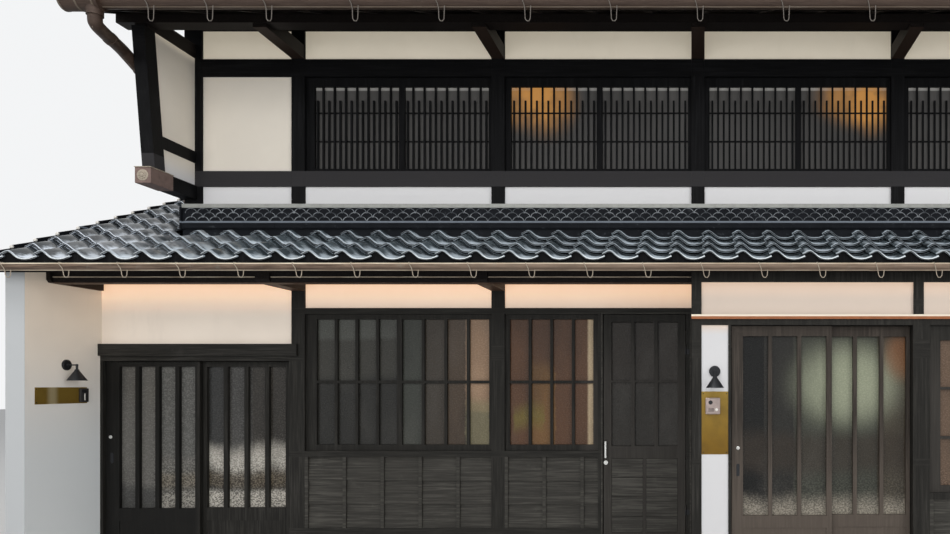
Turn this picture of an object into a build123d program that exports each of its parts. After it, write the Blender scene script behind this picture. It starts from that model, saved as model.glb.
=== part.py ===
from build123d import *
import os

os.makedirs("parts", exist_ok=True)

# A row townhouse of two low storeys. X runs along the street front, Y into the
# house and Z up; the origin is the middle of the plan at ground level.
# All sizes are in millimetres.

# Plan
KEN = 1818.0             # one bay, from post centre to post centre
BAYS = 5                 # bays along the street
DEPTH = 4 * KEN          # from the front of the timber to the back of it
POST = 120.0             # a square post
JOINT = 0.4              # hairline between the pieces that share a node
PARTY_T = 155.0          # party wall
PARTY_IN = 19.0          # how far a party wall reaches in past its grid line
WING_OUT = 750.0         # how far the party walls stand out in front
BAY_OUT = 690.0          # how far the entrance bay stands out in front
BAY_POST = 82.0          # corner post of the entrance bay
BAY_SHIFT = 53.0         # its outer face lies this far left of the grid line

# Heights
FLOOR_TOP = 100.0        # ground floor slab
PLINTH_TOP = 190.0       # stone kerb under the timber walls
SILL_TOP = 300.0         # ground sill
DADO_TOP = 945.0         # boarded dado under the street windows
WINDOW_SILL_H = 55.0
WINDOW_TOP = 2245.0
HEAD_H = 55.0
GIRTH_Z = 2620.0         # underside of the first floor girth
GIRTH_H = 240.0
FLOOR_BOARD = 30.0
UP_SILL_Z = 3405.0       # upper window sill beam
UP_SILL_H = 140.0
UP_HEAD_Z = 4405.0       # upper window head beam
UP_HEAD_H = 157.0
PLATE_H = 120.0          # wall plate under the rafters

# Roofs: heights are those of the boarding at the wall plane
SLOPE = 0.45
DECK_T = 16.0            # boarding, measured straight down
RAFTER_W = 45.0
RAFTER_FIRST = 65.0      # first rafter's middle past the first grid line
PENT_Z = 2955.0
PENT_EAVE = 850.0        # boarding's reach in front of the wall plane
PENT_RAFTER_H = 62.0
PENT_VERGE = 30.0        # reach past the party wall's outer face
MAIN_Z = 5033.0
MAIN_EAVE = 970.0
MAIN_RAFTER_H = 75.0
MAIN_VERGE = 180.0       # reach past the upper storey's left wall
VERGE_BOARD = 30.0       # board that closes the main roof's left edge
FASCIA_T = 14.0          # board over the rafter ends

# Tiles
COURSE = 214.3           # one tile course, measured level
TILE_OUT = 50.0          # lowest tile's reach past the boarding
TILE_LIP = 88.0          # height of a course's front edge over the boarding
TILE_TAIL = 58.0         # height of its back edge
TILE_PITCH = 265.0       # width that one tile shows
TILE_CREST = 97.0        # height of a wave's crest over the boarding
TILE_TROUGH = 32.0       # and of its trough
RIDGE_W = 260.0
RIDGE_H = 210.0
RIDGE_R = 75.0

# Running parts
RUN = 5.0                # clearance of a leaf from what it passes
SEAT = 0.3               # clearance where a leaf is carried
LEAF_T = 33.0
TRACK = 45.0             # from one track to the next
LEAF_SET = 30.0          # first track behind the timber face
THRESHOLD_H = 30.0
RAIL = 6.0
ROLLER_R = 12.0
GLASS_T = 5.0


def grid(n):
    """X of a grid line, counted from the left party wall."""
    return (n - BAYS / 2) * KEN


FRONT_Y = -DEPTH / 2
REAR_Y = DEPTH / 2
BAY_Y = FRONT_Y - BAY_OUT
HOUSE = (grid(0) - PARTY_T + PARTY_IN, grid(BAYS) + PARTY_T - PARTY_IN)
ROOM = (grid(0) + PARTY_IN, grid(BAYS) - PARTY_IN)
BAY_LEFT = grid(3) - BAY_SHIFT
GIRTH_TOP = GIRTH_Z + GIRTH_H
UP_SILL_TOP = UP_SILL_Z + UP_SILL_H
UP_HEAD_TOP = UP_HEAD_Z + UP_HEAD_H
WINDOW_Z = DADO_TOP + WINDOW_SILL_H
SIDE_T = 120.0           # upper storey's left wall
CORNER_W = 160.0         # its corner post
UPPER_LEFT = grid(0.5) - 124.0

# A wall is given by its timber face and by the way into the house from it
FRONT = (FRONT_Y, 1)
BAY = (BAY_Y, 1)
REAR = (REAR_Y, -1)


def face(side, depth=0.0):
    """The upright plane that lies a given depth behind a wall's timber face."""
    return Plane.XZ.offset(-(side[0] + side[1] * depth))


def inward(side, thickness):
    """Extrusion that carries a profile on that plane into the house."""
    return -side[1] * thickness


def rect(u, v, mode=Mode.ADD):
    """A rectangle between two limits along each axis of the sketch."""
    with Locations(((u[0] + u[1]) / 2, (v[0] + v[1]) / 2)):
        Rectangle(u[1] - u[0], v[1] - v[0], mode=mode)


def run_x(points, x, mode=Mode.ADD, shifts=(0.0,)):
    """A moulding that runs along the street: a profile of (Y, Z) points.

    With shifts it is repeated that far along the street.
    """
    with BuildSketch(*[Plane.YZ.offset(x[0] + s) for s in shifts]) as section:
        with BuildLine():
            Polyline(*points, close=True)
        make_face()
    extrude(section.sketch, amount=x[1] - x[0], mode=mode)


def wall_pieces(side, depth, thickness, rectangles, mode=Mode.ADD):
    """Upright pieces of one thickness, each given as (x limits, z limits)."""
    with BuildSketch(face(side, depth)) as pieces:
        for x, z in rectangles:
            rect(x, z)
    extrude(pieces.sketch, amount=inward(side, thickness), mode=mode)


def post_at(n, width=POST):
    """X limits of the post on a grid line."""
    return (grid(n) - width / 2, grid(n) + width / 2)


def between(n, m, gap=JOINT):
    """X limits of the clear width between two posts."""
    return (grid(n) + POST / 2 + gap, grid(m) - POST / 2 - gap)


def pent_z(out):
    """Top of the lower roof's boarding at a distance in front of the wall."""
    return PENT_Z - SLOPE * out


def main_z(out):
    """Top of the main roof's boarding at a distance in front of the wall."""
    return MAIN_Z - SLOPE * out


def save(piece, name):
    piece.part.label = name
    export_step(piece.part, f"parts/{name}.step")


# Openings of the ground floor

# The plain door: its jambs stand half a bay and a little past the third post
SIDE_JAMB = 45.0
SIDE_LEFT = grid(2.5)                        # left face of its left jamb
SIDE_OPEN = (SIDE_LEFT + SIDE_JAMB, post_at(3)[0] - 49.0)

# The left entrance fills the first bay
LEFT_OPEN = (ROOM[0] + 25.0, post_at(1)[0] - 22.0)
LEFT_HEAD_Z = 1818.0
LEFT_HEAD_H = 46.0
LINTEL_H = 109.0
LINTEL_OUT = 28.0

# The entrance bay: corner post, plaster pier, jamb, two leaves, post
PIER = (BAY_LEFT + BAY_POST, BAY_LEFT + BAY_POST + 218.0)
BAY_JAMB = 23.0
BAY_MID = (grid(4) - 65.0, grid(4) + 73.0)   # post between its two halves
ENTRY_OPEN = (PIER[1] + BAY_JAMB, BAY_MID[0])
ENTRY_HEAD_Z = 2089.0
ENTRY_HEAD_H = 86.0
STRIP_H = 37.0
STRIP_T = 18.0
BAY_TOP_POST = 81.0
BAY_PLATE_Z = 2440.0
BAY_WINDOW_SILL = 722.0
BAY_DADO_TOP = 667.0

# Ground: floor slab with the stone kerb on it, and the thresholds

with BuildPart() as floor_slab:
    with BuildSketch(Plane.XY):
        rect(ROOM, (FRONT_Y, REAR_Y))
        rect((BAY_LEFT, ROOM[1]), (BAY_Y, FRONT_Y - JOINT))
    extrude(amount=FLOOR_TOP)
    with BuildSketch(Plane.XY.offset(FLOOR_TOP + JOINT)) as kerb:
        rect((post_at(1)[0], SIDE_OPEN[0]), (FRONT_Y, FRONT_Y + POST))
        rect((SIDE_OPEN[1], post_at(3)[1]), (FRONT_Y, FRONT_Y + POST))
        rect((BAY_LEFT, ENTRY_OPEN[0]), (BAY_Y, BAY_Y + POST))
        rect((BAY_MID[0], ROOM[1]), (BAY_Y, BAY_Y + POST))
        rect(ROOM, (REAR_Y - POST, REAR_Y))
    extrude(kerb.sketch, amount=PLINTH_TOP - FLOOR_TOP - JOINT)
save(floor_slab, "floor_slab")


def threshold(side, x):
    """A threshold with one rail for each of two tracks."""
    top = FLOOR_TOP + THRESHOLD_H
    wall_pieces(side, 0, POST, [(x, (FLOOR_TOP, top))])
    for track in (0, 1):
        middle = LEAF_SET + LEAF_T / 2 + track * TRACK
        wall_pieces(side, middle - RAIL / 2, RAIL, [(x, (top, top + RAIL))])


with BuildPart() as thresholds:
    threshold(FRONT, LEFT_OPEN)
    threshold(BAY, ENTRY_OPEN)
    wall_pieces(FRONT, 0, POST, [(SIDE_OPEN, (FLOOR_TOP, FLOOR_TOP + THRESHOLD_H))])
save(thresholds, "thresholds")

# Ground floor timber, street side

HEAD_Z = (WINDOW_TOP, WINDOW_TOP + HEAD_H)
SILL_Z = (DADO_TOP, WINDOW_Z)

with BuildPart() as street_frame:
    timbers = [(post_at(n), (PLINTH_TOP, GIRTH_Z)) for n in (1, 2, 3)]
    timbers.append((post_at(4), (FLOOR_TOP, GIRTH_Z)))
    timbers.append((ROOM, (GIRTH_Z + JOINT, GIRTH_TOP)))
    timbers.append((between(1, 2), (PLINTH_TOP, SILL_TOP)))
    timbers.append((between(1, 2), SILL_Z))
    timbers.append((between(1, 2), HEAD_Z))
    beside_door = (between(2, 3)[0], SIDE_LEFT - JOINT)
    timbers.append((beside_door, (PLINTH_TOP, SILL_TOP)))
    timbers.append((beside_door, SILL_Z))
    timbers.append((between(2, 3), HEAD_Z))
    jamb_z = (PLINTH_TOP, WINDOW_TOP - JOINT)
    timbers.append(((SIDE_LEFT, SIDE_OPEN[0]), jamb_z))
    timbers.append(((SIDE_OPEN[1], post_at(3)[0] - JOINT), jamb_z))
    head_top = LEFT_HEAD_Z + LEFT_HEAD_H
    opening_head = (ROOM[0], post_at(1)[0] - JOINT)
    timbers.append((opening_head, (LEFT_HEAD_Z + JOINT, head_top + LINTEL_H)))
    timbers.append(((ROOM[0], LEFT_OPEN[0]), (FLOOR_TOP, LEFT_HEAD_Z)))
    timbers.append(((LEFT_OPEN[1], post_at(1)[0] - JOINT), (FLOOR_TOP, LEFT_HEAD_Z)))
    wall_pieces(FRONT, 0, POST, timbers)
    wall_pieces(FRONT, -LINTEL_OUT, LINTEL_OUT - JOINT,
                [((ROOM[0], grid(1)), (head_top, head_top + LINTEL_H))])
save(street_frame, "street_frame")

# Entrance bay timber, with the cheek that closes its left side

PENT_SOFFIT = DECK_T + PENT_RAFTER_H
MAIN_SOFFIT = DECK_T + MAIN_RAFTER_H


def plate(side_out, thickness, z, soffit, x, roof):
    """A beam whose top follows the rafters, its front face side_out forward."""
    back = side_out - thickness
    run_x([(FRONT_Y - side_out, z), (FRONT_Y - back, z),
           (FRONT_Y - back, roof(back) - soffit),
           (FRONT_Y - side_out, roof(side_out) - soffit)], x)


with BuildPart() as bay_frame:
    low = (PLINTH_TOP, ENTRY_HEAD_Z - JOINT)
    high = (ENTRY_HEAD_Z + ENTRY_HEAD_H + JOINT, BAY_PLATE_Z - JOINT)
    corner = (BAY_LEFT, BAY_LEFT + BAY_POST)
    bay_top_posts = [corner, (BAY_MID[0] + 8, BAY_MID[0] + 8 + BAY_TOP_POST)]
    timbers = [(corner, low), (BAY_MID, low), ((PIER[1], ENTRY_OPEN[0]), low)]
    timbers += [(x, high) for x in bay_top_posts]
    timbers.append(((BAY_LEFT, ROOM[1]), (ENTRY_HEAD_Z, ENTRY_HEAD_Z + ENTRY_HEAD_H)))
    bay_right = (BAY_MID[1] + JOINT, ROOM[1])
    timbers.append((bay_right, (PLINTH_TOP, SILL_TOP)))
    timbers.append((bay_right, (BAY_DADO_TOP, BAY_WINDOW_SILL)))
    wall_pieces(BAY, 0, POST, timbers)
    plate(BAY_OUT, POST, BAY_PLATE_Z, PENT_SOFFIT, (BAY_LEFT, ROOM[1]), pent_z)
    cheek_out = BAY_OUT - POST - JOINT
    run_x([(FRONT_Y - cheek_out, FLOOR_TOP), (FRONT_Y, FLOOR_TOP),
           (FRONT_Y, pent_z(0) - PENT_SOFFIT),
           (FRONT_Y - cheek_out, pent_z(cheek_out) - PENT_SOFFIT)], corner)
save(bay_frame, "bay_frame")

with BuildPart() as copper_strip:
    strip_top = ENTRY_HEAD_Z + ENTRY_HEAD_H
    wall_pieces(BAY, -STRIP_T, STRIP_T,
                [((BAY_LEFT, ROOM[1]), (strip_top - STRIP_H, strip_top))])
save(copper_strip, "copper_strip")

# Plaster of the ground floor, set back a little from the timber

PLASTER_SET = 20.0
PLASTER_T = 70.0
PIER_SET = 8.0

with BuildPart() as lower_plaster:
    over_head = (HEAD_Z[1], GIRTH_Z)
    wall_pieces(FRONT, PLASTER_SET, PLASTER_T,
                [((ROOM[0], post_at(1)[0]), (head_top + LINTEL_H, GIRTH_Z)),
                 (between(1, 2, 0), over_head), (between(2, 3, 0), over_head)])
    bay_panel_z = (ENTRY_HEAD_Z + ENTRY_HEAD_H, BAY_PLATE_Z)
    wall_pieces(BAY, PLASTER_SET, PLASTER_T,
                [((bay_top_posts[0][1], bay_top_posts[1][0]), bay_panel_z),
                 ((bay_top_posts[1][1], ROOM[1]), bay_panel_z)])
    rear_panels = [((ROOM[0], post_at(1)[0]), (SILL_TOP, GIRTH_Z))]
    rear_panels += [(between(n, n + 1, 0), over_head) for n in (1, 2, 3)]
    rear_panels.append(((post_at(4)[1], ROOM[1]), (SILL_TOP, GIRTH_Z)))
    wall_pieces(REAR, PLASTER_SET, PLASTER_T, rear_panels)
    wall_pieces(BAY, PIER_SET, POST - 2 * PIER_SET, [(PIER, (PLINTH_TOP, ENTRY_HEAD_Z))])
save(lower_plaster, "lower_plaster")

# Boarded dado: lapped boards held by upright battens

BOARD_H = 213.0
BOARD_LIP = 14.0         # board's lower edge behind the timber face
BOARD_TAIL = 28.0        # its upper edge
BOARD_BACK = 44.0
BATTEN_W = 30.0
BATTEN_PITCH = 345.0


def dado(side, x, z):
    """Lapped boards between two posts with battens in front of them."""
    count = max(1, round((z[1] - z[0]) / BOARD_H))
    height = (z[1] - z[0]) / count
    y = [side[0] + side[1] * d for d in (BOARD_LIP, BOARD_TAIL, BOARD_BACK)]
    outline = [(y[2], z[1]), (y[2], z[0])]
    for n in range(count):
        outline += [(y[0], z[0] + n * height), (y[1], z[0] + (n + 1) * height)]
    run_x(outline, x)
    battens = int((x[1] - x[0] - BATTEN_W) / BATTEN_PITCH)
    start = x[0] + BATTEN_W / 2
    rows = [((start + n * BATTEN_PITCH - BATTEN_W / 2,
              start + n * BATTEN_PITCH + BATTEN_W / 2), z) for n in range(battens + 1)]
    wall_pieces(side, 1, BOARD_LIP - JOINT - 1, rows)


with BuildPart() as dado_boards:
    dado(FRONT, between(1, 2, 0), (SILL_TOP, DADO_TOP))
    dado(FRONT, (post_at(2)[1], SIDE_LEFT), (SILL_TOP, DADO_TOP))
    dado(BAY, (BAY_MID[1], ROOM[1]), (SILL_TOP, BAY_DADO_TOP))
    for n in (1, 2, 3):
        dado(REAR, between(n, n + 1, 0), (SILL_TOP, DADO_TOP))
save(dado_boards, "dado_boards")

# Windows: each sash is a frame with upright and level bars

SASH_SET = 30.0
SASH_T = 28.0


def sash(side, x, z, stiles, rails, columns, rows, bar):
    """One sash: stiles (left, right), rails (bottom, top) and its bars."""
    inner_x = (x[0] + stiles[0], x[1] - stiles[1])
    inner_z = (z[0] + rails[0], z[1] - rails[1])
    pane_w = (inner_x[1] - inner_x[0] - (columns - 1) * bar) / columns
    pane_h = (inner_z[1] - inner_z[0] - (rows - 1) * bar) / rows
    with BuildSketch(face(side, SASH_SET)) as outline:
        rect(x, z)
        for c in range(columns):
            for r in range(rows):
                a = inner_x[0] + c * (pane_w + bar)
                b = inner_z[0] + r * (pane_h + bar)
                rect((a, a + pane_w), (b, b + pane_h), Mode.SUBTRACT)
    extrude(outline.sketch, amount=inward(side, SASH_T))


def sash_pair(side, x, z, columns, rows, bar=26.0, rails=(55, 45)):
    """Two sashes that meet in the middle of an opening."""
    middle = (x[0] + x[1]) / 2
    sash(side, (x[0], middle - JOINT / 2), z, (95, 24), rails, columns, rows, bar)
    sash(side, (middle + JOINT / 2, x[1]), z, (24, 28), rails, columns, rows, bar)


LOWER_WINDOW = (WINDOW_Z, WINDOW_TOP)
BAY_WINDOW = (BAY_WINDOW_SILL, ENTRY_HEAD_Z)
UPPER_WINDOW = (UP_SILL_TOP, UP_HEAD_Z)

with BuildPart() as street_sashes:
    sash_pair(FRONT, between(1, 2, 0), LOWER_WINDOW, 4, 2)
    sash(FRONT, (post_at(2)[1], SIDE_LEFT), LOWER_WINDOW, (40, 46), (55, 45), 4, 2, 26)
    sash_pair(BAY, (BAY_MID[1], ROOM[1]), BAY_WINDOW, 4, 3, 22, (55, 122))
save(street_sashes, "street_sashes")

with BuildPart() as rear_sashes:
    for n in (1, 2, 3):
        sash_pair(REAR, between(n, n + 1, 0), LOWER_WINDOW, 2, 2)
    for n in (1, 2, 3):
        sash_pair(REAR, between(n, n + 1, 0), UPPER_WINDOW, 2, 1)
save(rear_sashes, "rear_sashes")

GLASS_SET = SASH_SET + SASH_T

with BuildPart() as lower_glass:
    for side, x, z in ((FRONT, between(1, 2, 0), LOWER_WINDOW),
                       (FRONT, (post_at(2)[1], SIDE_LEFT), LOWER_WINDOW),
                       (BAY, (BAY_MID[1], ROOM[1]), BAY_WINDOW),
                       (REAR, between(1, 2, 0), LOWER_WINDOW),
                       (REAR, between(2, 3, 0), LOWER_WINDOW),
                       (REAR, between(3, 4, 0), LOWER_WINDOW)):
        wall_pieces(side, GLASS_SET, GLASS_T, [(x, z)])
save(lower_glass, "lower_glass")

# Eave purlins on brackets that grow out of the posts

PENT_PURLIN = (530.0, 100.0, 2455.0)     # front face, thickness, underside
PENT_ARM_H = 98.0
PENT_NOSE = 24.0                         # bracket's end in front of the purlin
PENT_END_ARM = 35.0                      # width of the one against the party wall
MAIN_PURLIN = (600.0, 133.0, 4600.0)
MAIN_ARM_Z = (4567.0, 4690.0)
MAIN_ARM_W = 112.0
MAIN_ARM_END = 12.0                      # bracket's end behind the purlin's face

# Wing at the left end of the upper front: raking post, rail, arm beam and panels

WING_X = (UPPER_LEFT, UPPER_LEFT + 105.0)
WING_RAKE = 0.105        # how far the post leans out for each unit of height
WING_POST = 122.0
WING_FOOT = 505.0        # post's front face at its foot
WING_RAIL = (3616.0, 3720.0)
WING_BEAM = (3285.0, 3410.0)
WING_BEAM_OUT = 565.0
WING_PANEL_T = 60.0
WING_PANEL_SET = 10.0    # panels behind the timber's right face


def wing_post_y(z, back):
    """Y of the raking post's front or back face at a height."""
    out = WING_FOOT + WING_RAKE * (z - WING_BEAM[1]) - (WING_POST if back else 0)
    return FRONT_Y - out


# Upper storey: posts, rails and wall plate

CORNER = (UPPER_LEFT, UPPER_LEFT + CORNER_W)


def upper_frame(side, post_z):
    """Posts, window rails and a plate with its top along the rafters."""
    top = main_z(0) - MAIN_SOFFIT
    plate_z = top - PLATE_H
    posts = [(CORNER, (GIRTH_TOP, plate_z - JOINT))]
    posts += [(post_at(n), (post_z, plate_z - JOINT)) for n in (1, 2, 3, 4)]
    spans = [(CORNER[1] + JOINT, post_at(1)[0] - JOINT)]
    spans += [between(n, n + 1) for n in (1, 2, 3)]
    spans.append((post_at(4)[1] + JOINT, ROOM[1]))
    rails = [(x, (UP_SILL_Z, UP_SILL_TOP)) for x in spans]
    rails += [(x, (UP_HEAD_Z, UP_HEAD_TOP)) for x in spans]
    plates = [((UPPER_LEFT, ROOM[1]), (plate_z, top))]
    wall_pieces(side, 0, POST, posts + rails + plates)


def upper_panels(side, closed):
    """Plaster bands under, beside and over the upper windows."""
    top = main_z(0) - MAIN_SOFFIT - PLATE_H
    spans = [(CORNER[1], post_at(1)[0])]
    spans += [between(n, n + 1, 0) for n in (1, 2, 3)]
    spans.append((post_at(4)[1], ROOM[1]))
    panels = [(x, (GIRTH_TOP, UP_SILL_Z)) for x in spans]
    panels += [(x, (UP_HEAD_TOP, top)) for x in spans]
    panels += [(spans[n], UPPER_WINDOW) for n in closed]
    wall_pieces(side, PLASTER_SET, PLASTER_T, panels)


with BuildPart() as upper_street_frame:
    upper_frame(FRONT, GIRTH_TOP)
save(upper_street_frame, "upper_street_frame")

with BuildPart() as rear_frame:
    timbers = [(post_at(n), (PLINTH_TOP, GIRTH_Z)) for n in (1, 2, 3, 4)]
    timbers.append((ROOM, (GIRTH_Z + JOINT, GIRTH_TOP - JOINT)))
    spans = [(ROOM[0], post_at(1)[0] - JOINT), between(1, 2), between(2, 3),
             between(3, 4), (post_at(4)[1] + JOINT, ROOM[1])]
    timbers += [(x, (PLINTH_TOP, SILL_TOP)) for x in spans]
    timbers += [(x, z) for x in spans[1:4] for z in (SILL_Z, HEAD_Z)]
    wall_pieces(REAR, 0, POST, timbers)
    upper_frame(REAR, GIRTH_TOP)
save(rear_frame, "rear_frame")

with BuildPart() as upper_plaster:
    upper_panels(FRONT, [0])
    upper_panels(REAR, [0, 4])
    panel_right = WING_X[1] - WING_PANEL_SET
    panel_x = (panel_right - WING_PANEL_T, panel_right)
    for low, high in ((WING_BEAM[1], WING_RAIL[0]), (WING_RAIL[1], MAIN_ARM_Z[0])):
        run_x([(wing_post_y(low, True), low), (FRONT_Y, low), (FRONT_Y, high),
               (wing_post_y(high, True), high)], panel_x)
save(upper_plaster, "upper_plaster")

# Upper windows: a close lattice of long and short bars before two thin rails

LATTICE_T = 26.0
LATTICE_SET = 34.0
LATTICE_BAR = (17.0, 14.0)                   # a bar's width and depth
LONG_BARS = 7
LATTICE_STILES = ((75.0, 33.0), (51.0, 31.0), (45.0, 31.0), (45.0, 31.0))
LATTICE_MEET = 52.0
LATTICE_RAILS = (30.0, 80.0)
SHORT_TOP = 4199.0
CROSS_RAILS = (3829.0, 4089.0)
CROSS_RAIL = (12.0, 10.0)                    # a rail's height and depth


def lattice(side, x, stiles):
    """Frame, middle stile, long bars, the short ones between and their rails."""
    z = (UPPER_WINDOW[0] + LATTICE_RAILS[0], UPPER_WINDOW[1] - LATTICE_RAILS[1])
    inner = (x[0] + stiles[0], x[1] - stiles[1])
    half = (inner[1] - inner[0] - LATTICE_MEET) / 2
    pitch = half / (LONG_BARS + 0.5)
    sides = [(inner[0], inner[0] + half), (inner[1] - half, inner[1])]
    with BuildSketch(face(side, LATTICE_SET)) as frame:
        rect(x, UPPER_WINDOW)
        for opening in sides:
            rect(opening, z, Mode.SUBTRACT)
    extrude(frame.sketch, amount=inward(side, LATTICE_T))
    width, depth = LATTICE_BAR
    bars = []
    for left, right in sides:
        for n in range(LONG_BARS + 1):
            short = left + (n + 0.25) * pitch
            bars.append(((short - width / 2, short + width / 2), (z[0], SHORT_TOP)))
            if n < LONG_BARS:
                long = short + pitch / 2
                bars.append(((long - width / 2, long + width / 2), z))
    wall_pieces(side, LATTICE_SET, depth, bars)
    height, thickness = CROSS_RAIL
    rails = [(opening, (middle - height / 2, middle + height / 2))
             for opening in sides for middle in CROSS_RAILS]
    wall_pieces(side, LATTICE_SET + depth + JOINT, thickness, rails)


with BuildPart() as upper_lattices:
    windows = [between(n, n + 1, 0) for n in (1, 2, 3)] + [(post_at(4)[1], ROOM[1])]
    for window, stiles in zip(windows, LATTICE_STILES):
        lattice(FRONT, window, stiles)
save(upper_lattices, "upper_lattices")

with BuildPart() as upper_glass:
    behind = LATTICE_SET + LATTICE_T
    wall_pieces(FRONT, behind, GLASS_T,
                [(between(n, n + 1, 0), UPPER_WINDOW) for n in (1, 2, 3)]
                + [((post_at(4)[1], ROOM[1]), UPPER_WINDOW)])
    wall_pieces(REAR, GLASS_SET, GLASS_T,
                [(between(n, n + 1, 0), UPPER_WINDOW) for n in (1, 2, 3)])
save(upper_glass, "upper_glass")

# First floor: beams from front to back under a boarded floor

INSIDE = (FRONT_Y + POST, REAR_Y - POST)

with BuildPart() as floor_beams:
    with BuildSketch(Plane.XY.offset(GIRTH_Z)):
        rect((UPPER_LEFT, UPPER_LEFT + SIDE_T), INSIDE)
        for n in (1, 2, 3, 4):
            rect(post_at(n), INSIDE)
    extrude(amount=GIRTH_H)
save(floor_beams, "floor_beams")

with BuildPart() as upper_floor:
    with BuildSketch(Plane.XY.offset(GIRTH_TOP)):
        rect((UPPER_LEFT + SIDE_T, ROOM[1]), INSIDE)
    extrude(amount=FLOOR_BOARD)
save(upper_floor, "upper_floor")

# Party walls and the upper storey's left wall: gabled slabs

AISLE_RIDGE = pent_z(FRONT_Y)        # boarding height of the aisle roof's ridge
MAIN_RIDGE = main_z(FRONT_Y)

with BuildPart() as party_walls:
    foot = FRONT_Y - WING_OUT
    eave_z = pent_z(WING_OUT) - DECK_T
    run_x([(foot, 0), (-foot, 0), (-foot, eave_z), (0, AISLE_RIDGE - DECK_T),
           (foot, eave_z)], (HOUSE[0], ROOM[0]))
    top = pent_z(0) - DECK_T
    run_x([(foot, 0), (-foot, 0), (-foot, eave_z), (REAR_Y, top), (FRONT_Y, top),
           (foot, eave_z)], (ROOM[1], HOUSE[1]))
    run_x([(FRONT_Y, top + JOINT), (REAR_Y, top + JOINT),
           (REAR_Y, main_z(0) - DECK_T), (0, MAIN_RIDGE - DECK_T),
           (FRONT_Y, main_z(0) - DECK_T)], (ROOM[1], HOUSE[1]))
save(party_walls, "party_walls")

with BuildPart() as upper_left_wall:
    run_x([(INSIDE[0], GIRTH_TOP), (INSIDE[1], GIRTH_TOP),
           (INSIDE[1], main_z(-POST) - MAIN_SOFFIT), (0, MAIN_RIDGE - MAIN_SOFFIT),
           (INSIDE[0], main_z(-POST) - MAIN_SOFFIT)],
          (UPPER_LEFT, UPPER_LEFT + SIDE_T))
save(upper_left_wall, "upper_left_wall")

# Roof boarding with its rafters

MAIN_X = (UPPER_LEFT - MAIN_VERGE, HOUSE[1])
PENT_X = (UPPER_LEFT + JOINT, HOUSE[1])
AISLE_X = (HOUSE[0] - PENT_VERGE, UPPER_LEFT - JOINT)
RAFTERS = [grid(0) + RAFTER_FIRST + n * KEN / 4 for n in range(4 * BAYS)]


def slope_strip(roof, sign, out, drop, x, shifts=(0.0,)):
    """A layer of one roof slope between two distances from the wall plane.

    drop gives its top and bottom below the boarding's top face.
    """
    y = [sign * (FRONT_Y - o) for o in out]
    run_x([(y[0], roof(out[0]) - drop[0]), (y[1], roof(out[1]) - drop[0]),
           (y[1], roof(out[1]) - drop[1]), (y[0], roof(out[0]) - drop[1])], x,
          shifts=shifts)


def roof_slope(roof, sign, eave, top_out, rafter_h, x, rafters, rafter_top):
    """Boarding of one slope, its fascia and the rafters that carry it."""
    slope_strip(roof, sign, (eave, top_out), (0, DECK_T), x)
    slope_strip(roof, sign, (eave, eave - FASCIA_T), (DECK_T, DECK_T + rafter_h), x)
    slope_strip(roof, sign, (eave - FASCIA_T, rafter_top), (DECK_T, DECK_T + rafter_h),
                (-RAFTER_W / 2, RAFTER_W / 2), rafters)


RIDGE_OUT = FRONT_Y + JOINT / 2      # distance of the ridge line, less a hairline
COURSES_OUT = FRONT_Y + RIDGE_W / 2  # where the courses meet the ridge's side
aisle_rafters = [x for x in RAFTERS if ROOM[0] < x < UPPER_LEFT]
pent_rafters = [x for x in RAFTERS if UPPER_LEFT < x - RAFTER_W and x < ROOM[1]]
main_rafters = [x for x in RAFTERS if MAIN_X[0] < x - RAFTER_W and x < ROOM[1]]

with BuildPart() as pent_deck:
    for sign in (1, -1):
        roof_slope(pent_z, sign, PENT_EAVE, 0, PENT_RAFTER_H, PENT_X, pent_rafters, 0)
        roof_slope(pent_z, sign, PENT_EAVE, RIDGE_OUT, PENT_RAFTER_H, AISLE_X,
                   aisle_rafters, 0)
save(pent_deck, "pent_deck")

with BuildPart() as main_deck:
    for sign in (1, -1):
        roof_slope(main_z, sign, MAIN_EAVE, RIDGE_OUT, MAIN_RAFTER_H, MAIN_X,
                   main_rafters, RIDGE_OUT)
        slope_strip(main_z, sign, (MAIN_EAVE - FASCIA_T, RIDGE_OUT),
                    (DECK_T, MAIN_SOFFIT), (MAIN_X[0], MAIN_X[0] + VERGE_BOARD))
save(main_deck, "main_deck")

# Purlins and brackets


def arm(x, out, z):
    """A level bracket from the wall plane to the back of its purlin."""
    run_x([(FRONT_Y, z[0]), (FRONT_Y - out, z[0]), (FRONT_Y - out, z[1]),
           (FRONT_Y, z[1])], x)


def notched_arm(x, purlin, z, end):
    """A level bracket with its purlin laid in a notch in its end."""
    out, thick, seat = purlin
    back = FRONT_Y - out + thick + JOINT
    tip = FRONT_Y - out + end
    run_x([(FRONT_Y, z[0]), (tip, z[0]), (tip, seat - JOINT), (back, seat - JOINT),
           (back, z[1]), (FRONT_Y, z[1])], x)


with BuildPart() as eave_purlins:
    out, thick, z = PENT_PURLIN
    plate(out, thick, z, PENT_SOFFIT, (ROOM[0], BAY_LEFT), pent_z)
    nose = (FRONT_Y - out - JOINT, FRONT_Y - out - PENT_NOSE)
    for x in [(ROOM[0], ROOM[0] + PENT_END_ARM)] + [post_at(n) for n in (1, 2)]:
        arm(x, out - thick - JOINT, (z, z + PENT_ARM_H))
        run_x([(nose[0], z), (nose[1], z + PENT_NOSE), (nose[1], z + PENT_ARM_H),
               (nose[0], z + PENT_ARM_H)], x)
    out, thick, z = MAIN_PURLIN
    plate(out, thick, z, MAIN_SOFFIT, (MAIN_X[0] + VERGE_BOARD, HOUSE[1]), main_z)
    for x in [WING_X] + [post_at(n, MAIN_ARM_W) for n in (1, 2, 3, 4)]:
        notched_arm(x, MAIN_PURLIN, MAIN_ARM_Z, MAIN_ARM_END)
save(eave_purlins, "eave_purlins")

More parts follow.
